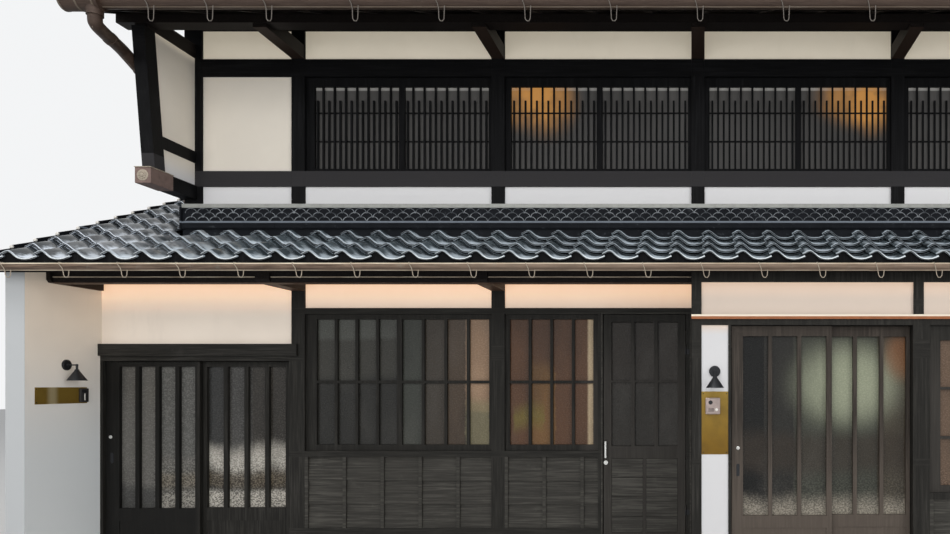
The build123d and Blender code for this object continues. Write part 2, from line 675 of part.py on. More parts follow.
with BuildPart() as wing_frame:
    top = MAIN_ARM_Z[0]
    foot_z = WING_BEAM[1] + JOINT
    run_x([(wing_post_y(foot_z, False), foot_z), (wing_post_y(foot_z, True), foot_z),
           (wing_post_y(top, True), top), (wing_post_y(top, False), top)], WING_X)
    run_x([(wing_post_y(WING_RAIL[0], True) + JOINT, WING_RAIL[0]),
           (FRONT_Y, WING_RAIL[0]), (FRONT_Y, WING_RAIL[1]),
           (wing_post_y(WING_RAIL[1], True) + JOINT, WING_RAIL[1])], WING_X)
    run_x([(FRONT_Y - WING_BEAM_OUT, WING_BEAM[0]), (FRONT_Y, WING_BEAM[0]),
           (FRONT_Y, WING_BEAM[1]), (FRONT_Y - WING_BEAM_OUT, WING_BEAM[1])],
          (WING_X[0] - 10, WING_X[1] + 10))
save(wing_frame, "wing_frame")

# Band where the lower roof meets the wall: laid tiles, scale panel and flashing

BAND_OUT = 190.0
BAND_LAID = (2978.0, 3040.0)         # the laid tiles under the scale panel
BAND_TOP = 3163.0
BAND_LAID_OUT = 18.0
BAND_FROM = {1: CORNER[1] - 41.0, -1: PENT_X[0]}
FLASH_OUT = 14.0
FLASH_EDGE = 34.0
FLASH_RISE = 46.0

with BuildPart() as head_band:
    for sign in (1, -1):
        wall = sign * FRONT_Y
        panel = sign * (FRONT_Y - BAND_OUT)
        laid = sign * (FRONT_Y - BAND_OUT - BAND_LAID_OUT)
        run_x([(wall, pent_z(0)), (panel, pent_z(BAND_OUT)), (panel, BAND_LAID[0]),
               (laid, BAND_LAID[0]), (laid, BAND_LAID[1]), (panel, BAND_LAID[1]),
               (panel, BAND_TOP), (wall, BAND_TOP)], (BAND_FROM[sign], HOUSE[1]))
save(head_band, "head_band")

with BuildPart() as flashing:
    for sign in (1, -1):
        wall = sign * FRONT_Y
        edge = sign * (FRONT_Y - BAND_OUT - FLASH_OUT)
        run_x([(wall, BAND_TOP), (edge, BAND_TOP), (edge, BAND_TOP + FLASH_EDGE),
               (wall, BAND_TOP + FLASH_RISE)], (BAND_FROM[sign], HOUSE[1]))
save(flashing, "flashing")

# Tiles in stepped courses on the boarding


def tile_layer(roof, sign, eave, top_out, x):
    """Courses of tiles: each one's front edge stands on the tail of the last."""
    first = eave + TILE_OUT
    outline = [(sign * (FRONT_Y - top_out), roof(top_out)),
               (sign * (FRONT_Y - eave), roof(eave)),
               (sign * (FRONT_Y - first), roof(first) + TILE_LIP - 60)]
    near = first
    while near > top_out:
        far = max(near - COURSE, top_out)
        outline.append((sign * (FRONT_Y - near), roof(near) + TILE_LIP))
        outline.append((sign * (FRONT_Y - far), roof(far) + TILE_TAIL))
        near = far
    run_x(outline, x)


# Main roof: the waves of the tiles run from eave to ridge
TILE_WAVE = [(0.06, TILE_CREST), (0.44, TILE_TROUGH), (0.68, TILE_TROUGH)]


def wave_layer(roof, sign, eave, top_out, x):
    """A layer with one wave to each column of tiles, drawn up the slope."""
    first = eave + TILE_OUT
    columns = int((x[1] - x[0]) / TILE_PITCH)
    pitch = (x[1] - x[0]) / columns
    low = roof(first)
    middle = (TILE_CREST + TILE_TROUGH) / 2
    outline = [(x[1], low), (x[0], low), (x[0], low + middle)]
    for n in range(columns):
        outline += [(x[0] + (n + share) * pitch, low + height)
                    for share, height in TILE_WAVE]
    outline.append((x[1], low + middle))
    with BuildSketch(face((sign * (FRONT_Y - first), sign))) as section:
        with BuildLine():
            Polyline(*outline, close=True)
        make_face()
    reach = first - top_out
    extrude(section.sketch, amount=reach * (1 + SLOPE ** 2) ** 0.5, dir=(0, sign, SLOPE))


with BuildPart() as pent_tiles:
    for sign in (1, -1):
        tile_layer(pent_z, sign, PENT_EAVE, BAND_OUT, PENT_X)
        tile_layer(pent_z, sign, PENT_EAVE, COURSES_OUT, AISLE_X)
save(pent_tiles, "pent_tiles")

with BuildPart() as main_tiles:
    for sign in (1, -1):
        wave_layer(main_z, sign, MAIN_EAVE, COURSES_OUT, MAIN_X)
save(main_tiles, "main_tiles")


def ridge(roof, x):
    """Laid ridge tiles under a round cap, with their foot cut to both slopes."""
    half = RIDGE_W / 2
    top = roof(FRONT_Y) + RIDGE_H
    foot = roof(FRONT_Y + half)
    with BuildSketch(Plane.YZ.offset(x[0])) as section:
        with BuildLine():
            Polyline((0, roof(FRONT_Y)), (half, foot), (half, foot + TILE_LIP),
                     (half * 0.8, top), (-half * 0.8, top), (-half, foot + TILE_LIP),
                     (-half, foot), close=True)
        make_face()
        with Locations((0, top)):
            Circle(RIDGE_R)
    extrude(section.sketch, amount=x[1] - x[0])


with BuildPart() as ridges:
    ridge(main_z, MAIN_X)
    ridge(pent_z, AISLE_X)
save(ridges, "ridges")

# Gutters: half-round troughs on straps, and the downpipe of the upper one

GUTTER_WALL = 3.0
PENT_GUTTER = (905.0, 50.0, 2548.0)      # distance of its centre, radius, rim
MAIN_GUTTER = (1030.0, 55.0, 4548.0)
STRAP_W = 20.0
STRAP_T = 5.0
STRAP_START = 674.0
STRAP_CLOSE = 450.0
STRAP_PITCH = 658.0
HOPPER_R = 78.0          # box at the upper gutter's left end
HOPPER_W = 294.0
HOPPER_OUT = MAIN_EAVE + HOPPER_R + 1
OUTLET_R = 56.0
OUTLET_H = 40.0
OUTLET_X = UPPER_LEFT + 47.0
PIPE_R = 49.0
PIPE_GAP = 6.0           # downpipe clear of the wall beside it
PIPE_BACK = 160.0        # how far behind the wall plane it comes down
PIPE_CLIPS = (3300.0, 3800.0)
PIPE_FOOT = 30.0         # its lower end over the tiles


def gutter(sign, size, fascia, x, straps):
    """A half-round trough and the straps that lie on its rim from the fascia."""
    out, radius, rim = size
    middle = sign * (FRONT_Y - out)
    with BuildSketch(Plane.YZ.offset(x[0])) as section:
        with Locations((middle, rim)):
            Circle(radius)
            Circle(radius - GUTTER_WALL, mode=Mode.SUBTRACT)
        rect((middle - 2 * radius, middle + 2 * radius), (rim, rim + 2 * radius),
             Mode.SUBTRACT)
    extrude(section.sketch, amount=x[1] - x[0])
    strap_y = sorted((sign * (FRONT_Y - fascia), sign * (FRONT_Y - out - radius)))
    with Locations(*[(s, sum(strap_y) / 2, rim + JOINT + STRAP_T / 2) for s in straps]):
        Box(STRAP_W, strap_y[1] - strap_y[0], STRAP_T)


def hopper(x):
    """A deeper half-round box with closed ends and an outlet under it."""
    rim = MAIN_GUTTER[2]
    y = FRONT_Y - HOPPER_OUT
    for radius, inset, mode in ((HOPPER_R, 0, Mode.ADD),
                                (HOPPER_R - GUTTER_WALL, GUTTER_WALL, Mode.SUBTRACT)):
        with BuildSketch(Plane.YZ.offset(x[0] + inset)) as section:
            with Locations((y, rim)):
                Circle(radius)
            rect((y - 2 * radius, y + 2 * radius), (rim, rim + 2 * radius), Mode.SUBTRACT)
        extrude(section.sketch, amount=x[1] - x[0] - 2 * inset, mode=mode)
    low = rim - HOPPER_R - OUTLET_H
    with BuildSketch(Plane.XY.offset(low)) as outlet:
        with Locations((OUTLET_X, y)):
            Circle(OUTLET_R)
    extrude(outlet.sketch, amount=OUTLET_H + HOPPER_R - (HOPPER_R ** 2 - OUTLET_R ** 2) ** 0.5)


# Straps of the upper gutter: two close ones by the outlet, then an even row
MAIN_STRAPS = [MAIN_X[0] + STRAP_START + n * STRAP_CLOSE for n in range(2)]
MAIN_STRAPS += [MAIN_STRAPS[1] + STRAP_CLOSE + n * STRAP_PITCH for n in range(11)]

with BuildPart() as gutters:
    for sign in (1, -1):
        gutter(sign, PENT_GUTTER, PENT_EAVE, (AISLE_X[0], HOUSE[1]), RAFTERS)
    hopper_x = (MAIN_X[0] - 7, MAIN_X[0] - 7 + HOPPER_W)
    gutter(1, MAIN_GUTTER, MAIN_EAVE, (hopper_x[1], MAIN_X[1]), MAIN_STRAPS)
    gutter(-1, MAIN_GUTTER, MAIN_EAVE, MAIN_X, MAIN_STRAPS)
    hopper(hopper_x)
save(gutters, "gutters")

with BuildPart() as downpipe:
    top = MAIN_GUTTER[2] - HOPPER_R - OUTLET_H
    pipe_x = UPPER_LEFT - PIPE_GAP - PIPE_R
    y = FRONT_Y - HOPPER_OUT
    pipe_y = FRONT_Y + PIPE_BACK
    foot = pent_z(-PIPE_BACK) + TILE_LIP + PIPE_FOOT
    route = [(OUTLET_X, y, top), (OUTLET_X, y, top - 28), (OUTLET_X - 9, y + 39, top - 66),
             (pipe_x, FRONT_Y - 640, top - 84), (pipe_x, pipe_y, 4000), (pipe_x, pipe_y, foot)]
    with BuildLine() as path:
        Polyline(*route)
    with BuildSketch(Plane(route[0], x_dir=(1, 0, 0), z_dir=(0, 0, -1))) as ring:
        Circle(PIPE_R)
    sweep(ring.sketch, path=path.line, transition=Transition.RIGHT)
    for z in PIPE_CLIPS:
        with Locations(((pipe_x + UPPER_LEFT) / 2, pipe_y, z)):
            Box(UPPER_LEFT - pipe_x, 24, 30)
save(downpipe, "downpipe")

# Doors


def leaf(side, track, x, z, stiles, columns, bar, glass_z, panel_z):
    """A sliding leaf with upright bars, a sunk lower panel and two rollers."""
    depth = LEAF_SET + track * TRACK
    inner = (x[0] + stiles[0], x[1] - stiles[1])
    pane = (inner[1] - inner[0] - (columns - 1) * bar) / columns
    with BuildPart() as body:
        with BuildSketch(face(side, depth)) as outline:
            rect(x, z)
            for n in range(columns):
                a = inner[0] + n * (pane + bar)
                rect((a, a + pane), glass_z, Mode.SUBTRACT)
        extrude(outline.sketch, amount=inward(side, LEAF_T))
        wall_pieces(side, depth, 6, [(inner, panel_z)], Mode.SUBTRACT)
        rail_top = FLOOR_TOP + THRESHOLD_H + RAIL
        for roller in (x[0] + 120, x[1] - 120):
            with BuildSketch(face(side, depth + LEAF_T / 2 - 6)) as wheel:
                with Locations((roller, rail_top + SEAT + ROLLER_R)):
                    Circle(ROLLER_R)
            extrude(wheel.sketch, amount=inward(side, 12))
    with BuildPart() as pane_sheet:
        wall_pieces(side, depth + LEAF_T, GLASS_T,
                    [((inner[0] - 8, inner[1] + 8), (glass_z[0] - 8, glass_z[1] + 8))])
    return body, pane_sheet


LEAF_BOTTOM = FLOOR_TOP + THRESHOLD_H + 2 * RAIL

left_z = (LEAF_BOTTOM, LEFT_HEAD_Z - RUN)
left_glass_z = (473.0, 1768.0)
left_panel_z = (200.0, 355.0)
LEFT_LEAF_A = (LEFT_OPEN[0] + RUN, LEFT_OPEN[0] + RUN + 855.0)
LEFT_LEAF_B = (LEFT_OPEN[1] - RUN - 841.0, LEFT_OPEN[1] - RUN)
left_door_a, left_door_a_glass = leaf(FRONT, 0, LEFT_LEAF_A, left_z, (122, 41), 4, 37,
                                      left_glass_z, left_panel_z)
left_door_b, left_door_b_glass = leaf(FRONT, 1, LEFT_LEAF_B, left_z, (51, 67), 4, 37,
                                      left_glass_z, left_panel_z)

entry_z = (LEAF_BOTTOM, ENTRY_HEAD_Z - RUN)
entry_glass_z = (530.0, 2000.0)
entry_panel_z = (200.0, 430.0)
ENTRY_LEAF_A = (ENTRY_OPEN[0] + RUN, ENTRY_OPEN[0] + RUN + 822.0)
ENTRY_LEAF_B = (ENTRY_OPEN[1] - RUN - 705.0, ENTRY_OPEN[1] - RUN)
entry_door_a, entry_door_a_glass = leaf(BAY, 0, ENTRY_LEAF_A, entry_z, (94, 44), 3, 32,
                                        entry_glass_z, entry_panel_z)
entry_door_b, entry_door_b_glass = leaf(BAY, 1, ENTRY_LEAF_B, entry_z, (50, 30), 3, 32,
                                        entry_glass_z, entry_panel_z)

save(left_door_a, "left_door_a")
save(left_door_a_glass, "left_door_a_glass")
save(left_door_b, "left_door_b")
save(left_door_b_glass, "left_door_b_glass")
save(entry_door_a, "entry_door_a")
save(entry_door_a_glass, "entry_door_a_glass")
save(entry_door_b, "entry_door_b")
save(entry_door_b_glass, "entry_door_b_glass")

# The plain door swings out on two barrel hinges at its right edge

SIDE_T_DOOR = 36.0
HINGE_R = 6.0
HINGE_PLATE = 3.0
HINGE_H = 45.0
HINGE_Z = (420.0, 1880.0)
SIDE_STILE = 71.0
SIDE_BAR = 33.0
SIDE_PANES = ((1045.0, 1623.0), (1641.0, 2173.0))
SIDE_BOARDS_Z = (260.0, 936.0)
SIDE_BATTEN = 26.0
PANEL_SINK = 8.0
GLASS_LAP = 8.0
PULL_SET = 14.0          # bar pull: from the leaf's edge, and its bar's thickness
PULL_Z = (940.0, 1090.0)
PULL_OUT = 44.0
LOCK_Z = 896.0
LOCK_R = 19.0
LOCK_OUT = 12.0
SIDE_LEAF = (SIDE_OPEN[0] + RUN + 2, SIDE_OPEN[1] - RUN)
SIDE_LEAF_Z = (FLOOR_TOP + THRESHOLD_H + RUN, WINDOW_TOP - JOINT - RUN)
HINGE_X = (SIDE_LEAF[1] + SIDE_OPEN[1]) / 2
HINGE_Y = FRONT_Y - HINGE_R - 1

with BuildPart() as side_door:
    inner = (SIDE_LEAF[0] + SIDE_STILE, SIDE_LEAF[1] - SIDE_STILE)
    pane_w = (inner[1] - inner[0] - 2 * SIDE_BAR) / 3
    with BuildSketch(face(FRONT)) as outline:
        rect(SIDE_LEAF, SIDE_LEAF_Z)
        for n in range(3):
            a = inner[0] + n * (pane_w + SIDE_BAR)
            for z in SIDE_PANES:
                rect((a, a + pane_w), z, Mode.SUBTRACT)
    extrude(outline.sketch, amount=inward(FRONT, SIDE_T_DOOR))
    middle = (inner[0] + inner[1]) / 2
    boards = [((inner[0], middle - SIDE_BATTEN / 2), SIDE_BOARDS_Z),
              ((middle + SIDE_BATTEN / 2, inner[1]), SIDE_BOARDS_Z)]
    wall_pieces(FRONT, 0, PANEL_SINK, boards, Mode.SUBTRACT)
    for z in HINGE_Z:
        with BuildSketch(Plane.XY.offset(z + HINGE_H + SEAT)) as knuckle:
            rect((HINGE_X - 34, HINGE_X), (FRONT_Y - HINGE_PLATE, FRONT_Y))
            with Locations((HINGE_X, HINGE_Y)):
                Circle(HINGE_R)
        extrude(knuckle.sketch, amount=HINGE_H)
save(side_door, "side_door")

with BuildPart() as side_door_glass:
    wall_pieces(FRONT, SIDE_T_DOOR, GLASS_T,
                [((inner[0] - GLASS_LAP, inner[1] + GLASS_LAP),
                  (SIDE_PANES[0][0] - GLASS_LAP, SIDE_PANES[1][1] + GLASS_LAP))])
save(side_door_glass, "side_door_glass")

with BuildPart() as side_hinges:
    for z in HINGE_Z:
        with BuildSketch(Plane.XY.offset(z)) as knuckle:
            rect((HINGE_X, HINGE_X + 34), (FRONT_Y - HINGE_PLATE, FRONT_Y))
            with Locations((HINGE_X, HINGE_Y)):
                Circle(HINGE_R)
        extrude(knuckle.sketch, amount=HINGE_H)
save(side_hinges, "side_hinges")

with BuildPart() as side_door_pull:
    bar = PULL_SET
    pull_x = (SIDE_LEAF[0] + PULL_SET, SIDE_LEAF[0] + PULL_SET + bar)
    y = (FRONT_Y - PULL_OUT, FRONT_Y)
    run_x([(y[1], PULL_Z[0]), (y[0], PULL_Z[0]), (y[0], PULL_Z[1]), (y[1], PULL_Z[1]),
           (y[1], PULL_Z[1] - bar), (y[0] + bar, PULL_Z[1] - bar),
           (y[0] + bar, PULL_Z[0] + bar), (y[1], PULL_Z[0] + bar)], pull_x)
    with BuildSketch(face(FRONT)) as cylinder:
        with Locations((sum(pull_x) / 2, LOCK_Z)):
            Circle(LOCK_R)
    extrude(cylinder.sketch, amount=LOCK_OUT)
save(side_door_pull, "side_door_pull")

# Fittings: brass panels, the door devices on them and two cone lamps

BRASS_T = 2.0
PIER_BRASS_Z = (1034.0, 1547.0)
WING_BRASS_OUT = (145.0, 660.0)      # in front of the wall plane
WING_BRASS_Z = (1440.0, 1580.0)
ENTRY_DEVICE = (120.0, 26.0)         # width and depth
ENTRY_DEVICE_Z = (1362.0, 1496.0)
ENTRY_DEVICE_X = PIER[0] + 92.0
WING_DEVICE_OUT = (150.0, 235.0)
WING_DEVICE_Z = (1450.0, 1570.0)
WING_DEVICE_T = 22.0

with BuildPart() as brass_plates:
    wall_pieces(BAY, PIER_SET - BRASS_T, BRASS_T, [(PIER, PIER_BRASS_Z)])
    with BuildSketch(Plane.YZ.offset(ROOM[0])) as plate_face:
        rect((FRONT_Y - WING_BRASS_OUT[1], FRONT_Y - WING_BRASS_OUT[0]), WING_BRASS_Z)
    extrude(plate_face.sketch, amount=BRASS_T)
save(brass_plates, "brass_plates")

with BuildPart() as door_devices:
    width, depth = ENTRY_DEVICE
    wall_pieces(BAY, PIER_SET - BRASS_T - depth, depth,
                [((ENTRY_DEVICE_X - width / 2, ENTRY_DEVICE_X + width / 2), ENTRY_DEVICE_Z)])
    with BuildSketch(Plane.YZ.offset(ROOM[0] + BRASS_T)) as device:
        rect((FRONT_Y - WING_DEVICE_OUT[1], FRONT_Y - WING_DEVICE_OUT[0]), WING_DEVICE_Z)
    extrude(device.sketch, amount=WING_DEVICE_T)
save(door_devices, "door_devices")

LAMP_ROSE_R = 46.0
LAMP_ROSE_T = 16.0
LAMP_ROD_R = 5.0
LAMP_ARM = 94.0
LAMP_SHADE_R = 74.0
ENTRY_LAMP = (PIER[0] + 108.0, 1711.0)
WING_LAMP = (360.0, 1772.0)          # in front of the wall plane, and height

# Half of the lamp's holder and shade: distance from its axis and height from the arm
LAMP_SHADE = [(0, 8), (8, 8), (8, -44), (LAMP_SHADE_R, -134), (0, -134)]


def lamp(wall):
    """A cone lamp: a rose on the wall, an arm straight out and a shade under it.

    wall is the plane of the wall at the rose, facing the way the arm goes.
    """
    with BuildSketch(wall) as rose:
        Circle(LAMP_ROSE_R)
    extrude(rose.sketch, amount=LAMP_ROSE_T)
    with BuildSketch(wall) as bar:
        Rectangle(2 * LAMP_ROD_R, 2 * LAMP_ROD_R)
    extrude(bar.sketch, amount=LAMP_ARM)
    end = wall.origin + wall.z_dir * LAMP_ARM
    with BuildSketch(Plane(end, x_dir=(1, 0, 0), z_dir=(0, -1, 0))) as half:
        with BuildLine():
            Polyline(*LAMP_SHADE, close=True)
        make_face()
    revolve(half.sketch, axis=Axis(end, (0, 0, 1)))


with BuildPart() as wall_lamps:
    x, z = ENTRY_LAMP
    lamp(Plane((x, BAY_Y + PIER_SET, z), x_dir=(1, 0, 0), z_dir=(0, -1, 0)))
    out, z = WING_LAMP
    lamp(Plane((ROOM[0], FRONT_Y - out, z), x_dir=(0, 1, 0), z_dir=(1, 0, 0)))
save(wall_lamps, "wall_lamps")
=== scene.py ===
"""Timber row house: the pieces and finishes that dress its solids."""

import math

import bpy
from bpy.props import FloatProperty, FloatVectorProperty, PointerProperty
from bpy.types import Operator, Panel, PropertyGroup
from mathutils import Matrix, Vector


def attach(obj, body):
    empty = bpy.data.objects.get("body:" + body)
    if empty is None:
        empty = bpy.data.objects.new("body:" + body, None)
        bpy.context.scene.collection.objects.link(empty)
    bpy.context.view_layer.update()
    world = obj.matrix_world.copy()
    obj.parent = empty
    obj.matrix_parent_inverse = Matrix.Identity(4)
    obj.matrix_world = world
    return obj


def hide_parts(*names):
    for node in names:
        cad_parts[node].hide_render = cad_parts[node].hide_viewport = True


bl_info = {
    "name": "Timber row house",
    "version": (1, 0, 0),
    "blender": (4, 5, 0),
    "location": "View3D > Sidebar > Row house",
    "description": "Tiles, fittings, finishes and stage of a timber row house",
    "category": "Object",
}

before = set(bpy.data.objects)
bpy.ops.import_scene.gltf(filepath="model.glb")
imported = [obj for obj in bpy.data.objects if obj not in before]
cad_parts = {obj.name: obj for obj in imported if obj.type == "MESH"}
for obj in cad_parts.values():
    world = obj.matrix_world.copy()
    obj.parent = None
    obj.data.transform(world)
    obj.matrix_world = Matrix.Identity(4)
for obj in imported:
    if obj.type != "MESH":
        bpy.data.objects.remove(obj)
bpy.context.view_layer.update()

# Places shared with the solids, in metres. X runs along the street, Y into the
# house and Z up from the ground; out is measured from the wall to the street.
FRONT_Y = -3.636
BAY_Y = -4.326
HOUSE_X = (-4.681, 4.681)
ROOM_LEFT = -4.526
CORNER_X = (-3.76, -3.60)
BOX_GAP = 0.003          # what is added stays this far inside the solids' box

# The roofs' boarding: its fall, its height at the wall, and how far out it ends
SLOPE = 0.45
PENT_Z, PENT_EAVE = 2.955, 0.85
MAIN_Z, MAIN_EAVE = 5.033, 0.97
BAND_OUT = 0.19          # face of the head band

# One tile across, from its left edge: share of the pitch and of the wave
WAVE = ((0.0, 0.6), (0.07, 0.74), (0.15, 0.92), (0.23, 1.0), (0.31, 0.88),
        (0.39, 0.62), (0.47, 0.35), (0.55, 0.13), (0.65, 0.03), (0.77, 0.0),
        (0.89, 0.06), (0.99, 0.2), (1.07, 0.375))
TILE_SPAN = WAVE[-1][0]
TILE_OUT = 0.05          # the tiles reach this far past the boarding
TROUGH_UP = 0.045        # their troughs lie this far above it
TILE_DROP = 0.032        # a tile's tail lies this far lower than its front edge would
FIRST_LEFT = -1.9556     # left edge of one tile of the lower roof's grid
RIDGE_SIDE = FRONT_Y + 0.13     # the slopes end 0.13 beside the ridge's line
AISLE_LEFT = HOUSE_X[0] - 0.03
MAIN_X = (CORNER_X[0] - 0.18, HOUSE_X[1])
MAIN_TILES_X = (MAIN_X[0] + 0.004, HOUSE_X[1] - 0.005)
MAIN_PITCH = (MAIN_TILES_X[1] - MAIN_TILES_X[0] + 0.001) / (31 + TILE_SPAN)
MAIN_TILES_Z = 4.55      # all tiles above this height are the main roof's
RIDGE_UP = 0.21          # a ridge's round cap lies this far above the boarding
RIDGE_TILE = 0.3         # about the length of a ridge's tiles
BAND_TILE = 0.27         # about the length of the head band's laid tiles

BLACK = (0.0, 0.0, 0.0)


def pent_z(out):
    """Height of the lower roof's boarding."""
    return PENT_Z - SLOPE * out


def main_z(out):
    """Height of the main roof's boarding."""
    return MAIN_Z - SLOPE * out


def srgb(*values):
    """A colour in linear light from its display values out of 255."""
    shares = [v / 255 for v in values]
    return tuple(s / 12.92 if s < 0.04 else ((s + 0.055) / 1.055) ** 2.4
                 for s in shares)


def times(colour, factor, more=0.0):
    """A brighter or darker colour."""
    return tuple(c * factor + more for c in colour)


# Sizes and colours that a user would change


def length(name, description, default, low, high):
    """A setting in metres."""
    return FloatProperty(name=name, description=description, default=default,
                         min=low, max=high, unit="LENGTH")


def tint(name, description, default):
    """A setting for a colour."""
    return FloatVectorProperty(name=name, description=description, default=default,
                               subtype="COLOR", size=3, min=0.0, max=1.0)


class TileSettings(PropertyGroup):
    pitch: length("Pitch", "Width that each tile shows", 0.2634, 0.2, 0.4)
    course: length("Course", "Level length that each course shows", 0.2143, 0.15, 0.3)
    wave: length("Wave", "Height of a crest over its trough", 0.067, 0.02, 0.1)
    thickness: length("Thickness", "Thickness of a tile", 0.014, 0.005, 0.03)
    glaze: tint("Glaze", "Colour of the glaze", (0.034, 0.044, 0.05))


class TimberSettings(PropertyGroup):
    upper: tint("Upper timber", "Stain of the upper storey", (0.0055, 0.0055, 0.006))
    lower: tint("Street timber", "Stain of the ground floor", (0.0165, 0.0155, 0.0135))
    eave: tint("Eave timber", "Stain under the eaves", (0.012, 0.009, 0.008))


class WallSettings(PropertyGroup):
    plaster: tint("Plaster", "Off-white of the panels", (0.76, 0.7, 0.61))
    glow: tint("Eave glow", "Warm light under the eave", (0.77, 0.46, 0.27))


class FittingSettings(PropertyGroup):
    hook_wire: length("Hook wire", "Thickness of a gutter hook", 0.007, 0.002, 0.02)
    scale_pitch: length("Scale pitch", "Width of a scale in the band", 0.107, 0.05, 0.2)
    scale_row: length("Scale row", "Height from one row to the next", 0.037, 0.02, 0.1)
    shade: length("Lamp shade", "Radius of a lamp shade's rim", 0.0735, 0.03, 0.15)


class StageSettings(PropertyGroup):
    floor_size: length("Floor", "Length of the floor's side", 90.0, 20.0, 300.0)
    lens: FloatProperty(name="Lens", description="Camera's focal length in millimetres",
                        default=27.89, min=10.0, max=100.0)


# Shader expressions


def maths(operation):
    """A method that adds one Math node."""
    return lambda self, *others: self.math(operation, self, *others)


class Value:
    """A shader socket that adds its nodes as Python expressions are written."""

    def __init__(self, owner, out):
        self.owner = owner
        self.out = out

    def math(self, operation, *inputs, clamp=False):
        return self.owner.node("ShaderNodeMath", dict(enumerate(inputs)),
                               operation=operation, use_clamp=clamp)[0]

    __add__ = __radd__ = maths("ADD")
    __mul__ = __rmul__ = maths("MULTIPLY")
    __sub__ = maths("SUBTRACT")
    __truediv__ = maths("DIVIDE")
    __gt__ = maths("GREATER_THAN")
    power = maths("POWER")
    fraction = maths("FRACT")
    floor = maths("FLOOR")
    absolute = maths("ABSOLUTE")
    most = maths("MAXIMUM")

    def __rsub__(self, other):
        return self.math("SUBTRACT", other, self)

    def clamped(self):
        return self.math("ADD", self, 0.0, clamp=True)


class Finish:
    """One material: its shader, and the nodes that feed it."""

    def __init__(self, name, **fixed):
        self.material = bpy.data.materials.new(name)
        self.material.use_nodes = True
        self.nodes = self.material.node_tree.nodes
        self.links = self.material.node_tree.links
        self.shader = self.nodes["Principled BSDF"]
        for key, value in fixed.items():
            self.set(key.replace("_", " "), value)
        _, self.normal, _, self.place = self.node("ShaderNodeTexCoord")[:4]
        self.x, self.y, self.z = self.split(self.place)

    def node(self, kind, inputs=None, **settings):
        """Adds a node, sets it, feeds its sockets and gives its outputs as values."""
        node = self.nodes.new(kind)
        for key, value in settings.items():
            setattr(node, key, value)
        for key, value in (inputs or {}).items():
            self.feed(node.inputs[key], value)
        return [Value(self, out) for out in node.outputs]

    def feed(self, target, value):
        """Links a socket, or sets it to a number, vector or colour."""
        if isinstance(value, Value):
            self.links.new(value.out, target)
        elif target.type == "RGBA":
            target.default_value = (*value[:3], 1.0)
        else:
            target.default_value = value

    def set(self, name, value):
        """Sets a socket of the shader, or links it."""
        self.feed(self.shader.inputs[name], value)
        return self

    def split(self, vector):
        return self.node("ShaderNodeSeparateXYZ", {0: vector})

    def scaled(self, x=1.0, y=1.0, z=1.0):
        """The place on the object, stretched along each axis."""
        return self.node("ShaderNodeMapping", {
            "Vector": self.place, "Scale": (x, y, z)})[0]

    def noise(self, scale, detail=3.0, roughness=0.5, vector=None, distortion=0.0):
        return self.node("ShaderNodeTexNoise", {
            "Vector": vector or self.place, "Scale": scale, "Detail": detail,
            "Roughness": roughness, "Distortion": distortion})[0]

    def mix(self, factor, a, b, blend="MIX"):
        """Mixes two colours."""
        return self.node("ShaderNodeMix", {0: factor, 6: a, 7: b},
                         data_type="RGBA", blend_type=blend)[2]

    def layers(self, tone, *coats):
        """Lays colours over a tone, each where its mask is."""
        for mask, colour in coats:
            tone = self.mix(mask, tone, colour)
        return tone

    def step(self, value, low, high):
        """0 below low, 1 above high and a smooth rise between them."""
        return self.node("ShaderNodeMapRange", {0: value, 1: low, 2: high},
                         interpolation_type="SMOOTHSTEP")[0]

    def span(self, value, low, high, soft):
        """1 between two limits, with soft edges."""
        return self.step(value, low - soft, low + soft) * (
            1 - self.step(value, high - soft, high + soft))

    def patch(self, centre, radius):
        """A soft round patch in the plane of the street front."""
        across = (self.x - centre[0]) / radius[0]
        up = (self.z - centre[1]) / radius[1]
        return 1 - self.step(across * across + up * up, 0.0, 1.0)

    def surface(self, tone, roughness, height=None, strength=0.0, distance=0.0):
        """Feeds the shader its colour, its roughness and the relief of a height."""
        self.set("Base Color", tone).set("Roughness", roughness)
        if height is not None:
            self.set("Normal", self.node("ShaderNodeBump", {
                "Strength": strength, "Distance": distance, "Height": height})[0])
        return self

    def over(self, mask, colour):
        """Lays one more colour over the surface."""
        base = Value(self, self.shader.inputs["Base Color"].links[0].from_socket)
        return self.set("Base Color", self.mix(mask, base, colour))

    def glow(self, mask, colour):
        """Lets a colour shine where its mask is."""
        self.set("Emission Color", self.mix(mask, BLACK, colour))
        return self.set("Emission Strength", 1.0)


FINISHES = {}


def finish(name):
    """The material of that name, made the first time that it is asked for."""
    if name not in FINISHES:
        FINISHES[name] = RECIPES[name](name).material
    return FINISHES[name]


# Modelling helpers


def deselect():
    if bpy.context.object and bpy.context.object.mode != "OBJECT":
        bpy.ops.object.mode_set(mode="OBJECT")
    bpy.ops.object.select_all(action="DESELECT")


def select_only(obj):
    deselect()
    obj.select_set(True)
    bpy.context.view_layer.objects.active = obj


def edit(obj):
    """Opens a piece in edit mode with all of it selected."""
    select_only(obj)
    bpy.ops.object.mode_set(mode="EDIT")
    bpy.ops.mesh.select_all(action="SELECT")


def settle():
    """Leaves edit mode and puts the active object's place into its mesh."""
    if bpy.context.object.mode != "OBJECT":
        bpy.ops.object.mode_set(mode="OBJECT")
    bpy.ops.object.transform_apply(location=True, rotation=True, scale=True)
    return bpy.context.object


def apply_modifier(obj, kind, **settings):
    """Adds one modifier and applies it at once."""
    select_only(obj)
    modifier = obj.modifiers.new(kind.title(), kind)
    for key, value in settings.items():
        setattr(modifier, key, value)
    bpy.ops.object.modifier_apply(modifier=modifier.name)
    return obj


def array(obj, count, offset):
    """Repeats a piece in a row, in its own mesh."""
    return apply_modifier(obj, "ARRAY", count=count, use_relative_offset=False,
                          use_constant_offset=True, constant_offset_displace=offset)


